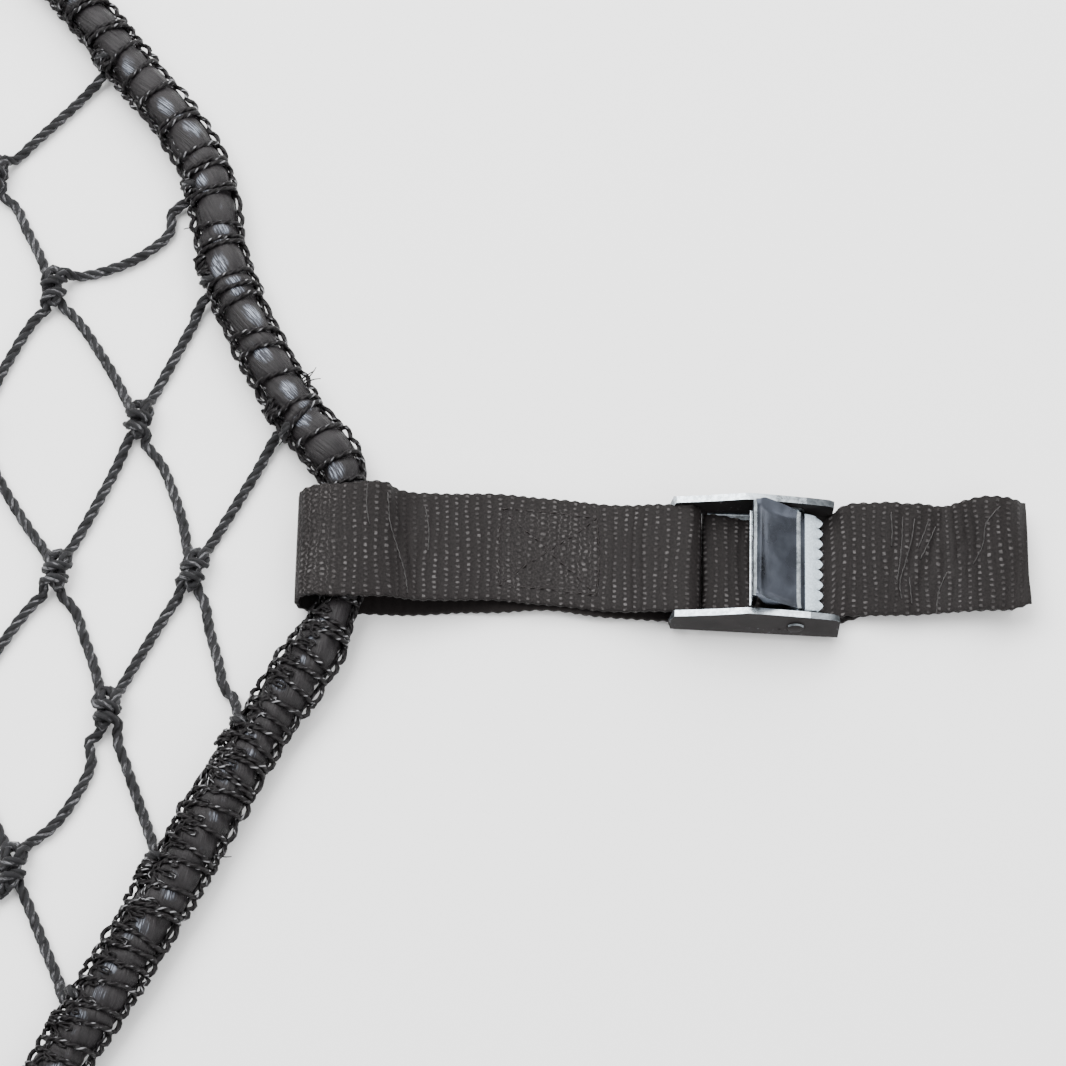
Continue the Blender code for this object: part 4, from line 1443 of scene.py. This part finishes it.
def steel_sheet(name, bm, settings, matrix, finishes, body, replaces, thickness, rim):
    """Gives a bent sheet its thickness, a finish on its cut edges, and a painted highlight on its
    rounded corners.
    """
    for vert in bm.verts:
        vert.co = matrix @ (vert.co * MM)
    bmesh.ops.recalc_face_normals(bm, faces=bm.faces)
    for face in bm.faces:
        face.smooth = True
    metals = [FINISHES[finish] for finish in finishes]
    obj = finished(name, bm, metals, body, replaces=[replaces])
    solid, soft = thicken(obj, thickness, settings.edge, 35)
    solid.use_even_offset = True
    solid.material_offset_rim = rim
    # Painted highlight: the rounded corners take the third finish, the plating colour used as a
    # painted highlight.
    soft.material = 2
    soft.harden_normals = True


class CARGONET_OT_bend_buckles(bpy.types.Operator):
    """Bend the buckle frames from sheet steel and set their pins"""

    bl_idname = "cargo_net.bend_buckles"
    bl_label = "Bend Buckles"

    def execute(self, context):
        settings = context.scene.cargo_net.buckle
        for corner, place in CORNER_PLACES.items():
            matrix = place.matrix()
            steel_sheet(f"{corner}_buckle_sheet", bend_frame(settings), settings, matrix,
                        FRAME_FINISHES, "net", f"{corner}_buckle_frame",
                        settings.sheet, rim=2)
            self.rivet(corner, matrix)
            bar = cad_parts[f"{corner}_rear_bar"]
            bar.material_slots[0].material = FINISHES["bright"]
        return {"FINISHED"}

    def rivet(self, corner, matrix):
        """The lever's pivot, turned about its own axis: a collar inside each wall and a low domed
        head outside it, nearly black, with a painted highlight along its top only."""
        rows = []
        for side in (-1, 1):
            face = WEB_WIDTH / 2 + 1.56 + splay(PIVOT_X, side) / 2
            half = [(0.0, face + 0.8), (0.9, face + 0.75), (1.45, face + 0.58), (1.72, face + 0.38),
                    (1.9, face), (1.1, face),
                    (1.1, 12.45), (2.0, 12.45), (2.0, 11.95), (1.1, 11.95)]
            rows += [(r, side * y) for r, y in (half if side < 0 else reversed(half))]
        bm = bmesh.new()
        verts = [bm.verts.new((r * MM, y * MM, 0)) for r, y in rows]
        edges = [bm.edges.new(pair) for pair in zip(verts, verts[1:])]
        bmesh.ops.spin(bm, geom=verts + edges, cent=(0, 0, 0), axis=(0, 1, 0), angle=2 * pi,
                       steps=28, use_merge=True)
        bmesh.ops.remove_doubles(bm, verts=bm.verts, dist=1e-6)
        bmesh.ops.recalc_face_normals(bm, faces=bm.faces)
        for face in bm.faces:
            face.smooth = True
            place = face.calc_center_median() / MM
            if abs(place.y) > WALL_OUTER:
                # Painted highlight: the head's upper rim takes the shaded plating, lighter than the
                # nearly black rest of the head.
                face.material_index = 2 if place.z > 0.7 and place.xz.length > 1.68 else 1
        pivot = Matrix.Translation((PIVOT_X * MM, 0, PIVOT_Z * MM))
        bmesh.ops.transform(bm, matrix=matrix @ pivot, verts=bm.verts)
        metals = [FINISHES[name] for name in ("bright", "dull", "shade")]
        obj = finished(f"{corner}_rivet", bm, metals,
                       replaces=[f"{corner}_pivot_pin"])
        obj.data.set_sharp_from_angle(angle=radians(50))


# The lever in side view about its pivot: x, z, half width of its flat middle and of the whole,
# rise of its sides above the flat, drop of its cheeks below it, and finish of the strip up to the
# next row
# Finish 2 is a painted highlight: strips along the lip and along the bends of the lever's sheet.
LEVER_ROWS = (
    (-9.85, 2.2, 9.6, 10.9, 0.0, 0.0, 2),
    (-9.5, 2.25, 9.6, 10.9, 0.0, 0.0, 2),
    (-9.2, 2.5, 9.6, 10.9, 0.0, 0.0, 0),
    (-9.12, 3.2, 9.6, 10.85, 0.0, 0.0, 0),
    (-9.12, 5.5, 9.6, 10.8, 0.0, 0.0, 0),
    (-9.12, 7.9, 9.6, 10.7, 0.0, 0.0, 2),
    (-9.05, 8.3, 9.6, 10.7, 0.05, 0.0, 2),
    (-8.85, 8.45, 9.6, 10.7, 0.1, 0.0, 0),
    (-8.5, 8.25, 9.6, 10.75, 0.3, 0.0, 0),
    (-8.0, 7.5, 9.5, 10.9, 0.8, 0.1, 0),
    (-7.4, 6.7, 9.4, 11.1, 1.15, 0.3, 0),
    (-6.5, 5.8, 9.4, 11.2, 1.25, 0.8, 0),
    (-5.1, 4.7, 9.4, 11.2, 1.25, 2.4, 0),
    (-3.7, 3.7, 9.4, 11.2, 1.15, 3.6, 0),
    (-2.3, 2.85, 9.4, 11.1, 0.95, 4.0, 0),
    (-0.9, 2.1, 9.4, 11.0, 0.65, 3.7, 0),
    (-0.1, 1.65, 9.4, 10.9, 0.4, 3.2, 2),
    (0.35, 1.52, 9.45, 10.8, 0.25, 2.6, 2),
    (0.7, 1.4, 9.5, 10.75, 0.15, 2.2, 0),
    (1.1, 1.05, 9.7, 10.75, 0.05, 1.6, 0),
    (1.5, 0.7, 10.1, 10.8, 0.0, 1.0, 0),
    (1.8, 0.5, 10.5, 10.85, 0.0, 0.4, 3),
    (2.2, 0.43, 10.75, 10.85, 0.0, 0.1, 3),
    (3.2, 0.15, 10.8, 10.85, 0.0, 0.0, 3),
    (4.0, -0.15, 10.8, 10.85, 0.0, 0.0, 3),
    (4.7, -0.45, 10.8, 10.85, 0.0, 0.0, 3),
    (5.75, -0.85, 10.8, 10.85, 0.0, 0.0, 3),
)
TOOTH = (1.0, 0.58, 0.2, 0.0, 0.2, 0.58)  # how far the edge draws back through one tooth
TOOTH_DEPTH, LEVER_SHEET = 1.45, 0.95
# Shares of the rise and the drop at each step outwards from the flat middle
CHEEK_RISE = (0.0, 0.4, 1.0, 0.8, 0.0)
CHEEK_DROP = (0.0, 0.0, 0.0, 0.15, 1.0)


def bend_lever(settings):
    """The lever's sheet: a flap hanging from its rear edge, a dished plate with cheeks folded down
    at its sides, and a toothed front edge."""
    plate, cheek = len(TOOTH) * settings.teeth, len(CHEEK_RISE) - 1
    columns = plate + 2 * cheek
    last = len(LEVER_ROWS) - 1
    bm = bmesh.new()
    bmesh.ops.create_grid(bm, x_segments=last, y_segments=columns, size=0.5)
    for face in bm.faces:
        face.material_index = LEVER_ROWS[int((face.calc_center_median().x + 0.5) * last)][6]
    for vert in bm.verts:
        r, c = round((vert.co.x + 0.5) * last), round((vert.co.y + 0.5) * columns) - cheek
        x, z, flat, whole, rise, drop, _ = LEVER_ROWS[r]
        inner = max(0, min(plate, c))
        side = 1 if c > plate / 2 else -1
        y = abs(flat * (2 * inner / plate - 1))
        beyond = abs(c - inner)
        if beyond:
            y += (whole - flat) * min(1.0, beyond / 2) + 0.04 * max(0, beyond - 2)
            z += rise * CHEEK_RISE[beyond] - drop * CHEEK_DROP[beyond]
        if r >= last - 1:
            x -= TOOTH_DEPTH * TOOTH[inner % len(TOOTH)] * (1.0 if r == last else 0.4)
        vert.co = Vector((PIVOT_X + x, side * y + 0.25 * max(0.0, min(1.0, x / 2)), PIVOT_Z + z))
    return bm


class CARGONET_OT_press_levers(bpy.types.Operator):
    """Press the cam levers from sheet steel"""

    bl_idname = "cargo_net.press_levers"
    bl_label = "Press Levers"

    def execute(self, context):
        settings = context.scene.cargo_net.buckle
        for corner, place in CORNER_PLACES.items():
            # The third finish paints highlights on the lever's lip, bends and rounded corners.
            steel_sheet(f"{corner}_lever_plate", bend_lever(settings), settings, place.matrix(),
                        ("lever", "lever", "bright", "teeth", "teeth"), f"{corner}_lever",
                        f"{corner}_cam_lever", LEVER_SHEET, rim=0)
        return {"FINISHED"}


class CARGONET_OT_pull_whiskers(bpy.types.Operator):
    """Pull a few loose fibres out of the border rope and the lashings"""

    bl_idname = "cargo_net.pull_whiskers"
    bl_label = "Pull Whiskers"

    def execute(self, context):
        route = Route()
        chance = random.Random(3)
        lines = []
        tuft = CORNER_PLACES["right"].apex - CENTRE + Vector((-9.8, 42.2))
        start = route.nearest(tuft.x, tuft.y)
        pulled = [(start + x, -1, long, lean, 0.4)
                  for x, long, lean in ((0, 3.9, 1.6), (0.8, 3.2, 0.2), (-0.6, 3.5, -0.9))]
        pulled += [(chance.uniform(0, route.length), chance.choice((1, -1)),
                    chance.uniform(1.6, 3.2), chance.uniform(-1.6, 1.6), chance.uniform(-1.5, 2.5))
                   for _ in range(22)]
        for s, side, long, lean, up in pulled:
            if route.at(s)[3] < 0.9:
                continue
            rows = []
            for t in (0, 0.3, 0.6, 0.85, 1.0):
                y, z = side * (4.6 + long * t), 0.5 + up * sin(2.2 * t)
                rows.append((*route.point(s + lean * t * t, y, z), 1.0 - 0.5 * t))
            lines.append(smooth_line(rows, 0.6))
        bm = run_outline(lines, round_outline(0.19, 4))
        finished("stray_fibres", bm, [FINISHES["thread"]])
        return {"FINISHED"}


WORLD_STRENGTH = 0.87
AIM = (38.7, 6.7)  # from the photographed corner's rope to what the camera looks at
FLOOR_HALF = 4.0  # metres


class CARGONET_OT_set_stage(bpy.types.Operator):
    """Set the pale floor, the soft lights and the camera"""

    bl_idname = "cargo_net.set_stage"
    bl_label = "Set Stage"

    def execute(self, context):
        settings = context.scene.cargo_net.stage
        apex = CORNER_PLACES["right"].apex - CENTRE
        aim = Vector((apex.x + AIM[0], apex.y + AIM[1], 0)) * MM
        bm = bmesh.new()
        bmesh.ops.create_grid(bm, x_segments=8, y_segments=8, size=FLOOR_HALF)
        floor = new_object("floor", to_mesh("floor", bm))
        floor.data.materials.append(floor_finish(settings.floor))
        self.lights(aim, settings)
        self.camera(aim, settings)
        return {"FINISHED"}

    def lights(self, aim, settings):
        # offset from the aim, size, share of the key light's power
        rows = (
            ("key_light", (-0.55, 0.45, 1.15), 1.1, 1.0),
            ("fill_light", (0.9, -0.5, 1.0), 1.4, 0.45),
            ("back_light", (0.25, 1.0, 0.75), 1.0, 0.55),
        )
        for name, offset, size, share in rows:
            light = bpy.data.lights.new(name, "AREA")
            light.shape, light.size = "SQUARE", size
            light.energy = settings.key * share
            self.point_at(new_object(name, light), aim, Vector(offset))
        world = bpy.data.worlds.new("studio")
        world.use_nodes = True
        background = world.node_tree.nodes["Background"]
        background.inputs["Color"].default_value = (1.0, 1.0, 1.0, 1)
        background.inputs["Strength"].default_value = WORLD_STRENGTH
        bpy.context.scene.world = world

    def camera(self, aim, settings):
        data = bpy.data.cameras.new("camera")
        data.lens, data.sensor_width = settings.lens, 36.0
        data.clip_start, data.clip_end = 0.01, 20.0
        camera = new_object("camera", data)
        e = settings.elevation
        self.point_at(camera, aim, Vector((0, -cos(e), sin(e))) * settings.distance)
        bpy.context.scene.camera = camera

    def point_at(self, obj, aim, offset):
        obj.location = aim + offset
        obj.rotation_mode = "QUATERNION"
        obj.rotation_quaternion = (-offset).to_track_quat("-Z", "Y")


class CARGONET_PG_settings(bpy.types.PropertyGroup):
    net: PointerProperty(type=NetSettings, name="Net", description="Laid cord and knots")
    border: PointerProperty(type=BorderSettings, name="Border", description="Rope and its thread")
    webbing: PointerProperty(type=WebbingSettings, name="Webbing", description="Tabs and straps")
    buckle: PointerProperty(type=BuckleSettings, name="Buckle", description="Cam buckles")
    stage: PointerProperty(type=StageSettings, name="Stage", description="Floor, lights and camera")


class CARGONET_PT_panel(bpy.types.Panel):
    """Sizes, colours and makers of the cargo net"""

    bl_label = "Cargo Net"
    bl_idname = "CARGONET_PT_panel"
    bl_space_type = "VIEW_3D"
    bl_region_type = "UI"
    bl_category = "Cargo Net"

    def draw(self, context):
        settings = context.scene.cargo_net
        for group in ("net", "border", "webbing", "buckle", "stage"):
            box = self.layout.box()
            box.label(text=group.capitalize())
            part = getattr(settings, group)
            for name in type(part).__annotations__:
                box.prop(part, name)
        for maker in MAKERS:
            self.layout.operator(maker.bl_idname)


MAKERS = (
    CARGONET_OT_set_stage,
    CARGONET_OT_tie_twines,
    CARGONET_OT_lay_border,
    CARGONET_OT_oversew_border,
    CARGONET_OT_weave_webbing,
    CARGONET_OT_bend_buckles,
    CARGONET_OT_press_levers,
    CARGONET_OT_pull_whiskers,
)
CLASSES = (NetSettings, BorderSettings, WebbingSettings, BuckleSettings, StageSettings,
           CARGONET_PG_settings, *MAKERS, CARGONET_PT_panel)


def register():
    for cls in CLASSES:
        bpy.utils.register_class(cls)
    bpy.types.Scene.cargo_net = PointerProperty(type=CARGONET_PG_settings)


def unregister():
    del bpy.types.Scene.cargo_net
    for cls in reversed(CLASSES):
        bpy.utils.unregister_class(cls)


def mix_finishes(settings):
    net, border, webbing, buckle = settings.net, settings.border, settings.webbing, settings.buckle
    FINISHES.update(
        cord=cord_finish(net.color),
        rope=rope_finish(border.color),
        thread=thread_finish("oversewing thread", tint(border.color, 0.8), (0.22, 0.22, 0.23), 1.0),
        stitch=thread_finish("tab stitching", tint(webbing.color, 2.4), (0.05, 0.047, 0.047), 0.8),
        # Painted highlight: the lifted yarns take the yarn crowns' painted highlight colour, so
        # they show as light lines.
        yarn=thread_finish("lifted yarn", tint(webbing.crown_highlight, 0.6), tint(webbing.crown_highlight, 1.2), 1.6),
        webbing=webbing_finish(webbing.color, webbing.crown_highlight, webbing.rib),
        inside=plain_finish(tint(webbing.color, 1.5)),
        # Painted light: the plating finish also paints highlights on the sheet's cut edges, rounded
        # corners and lever bends; its shaded copy paints shade on some cut edges and a highlight on
        # the rivet heads' upper rims.
        bright=plating_finish("bright plating", buckle.bright, 0.30, 0.7, 0.3),
        shade=plating_finish("shaded plating", tint(buckle.bright, 0.30), 0.38, 0.5),
        # Painted reflection and shade: the broad plated faces are coloured nearly black.
        dull=dark_reflection_finish(buckle.dull),
        lever=plating_finish("lever plating", buckle.lever, 0.28, 0.12, 0.55, 0.6),
        teeth=tooth_finish((0.55, 0.64, 0.71)),
    )


def main():
    register()
    mix_finishes(bpy.context.scene.cargo_net)
    bpy.ops.cargo_net.set_stage()
    bpy.ops.cargo_net.tie_twines()
    bpy.ops.cargo_net.lay_border()
    bpy.ops.cargo_net.oversew_border()
    bpy.ops.cargo_net.weave_webbing()
    bpy.ops.cargo_net.bend_buckles()
    bpy.ops.cargo_net.press_levers()
    bpy.ops.cargo_net.pull_whiskers()


if __name__ == "__main__":
    main()
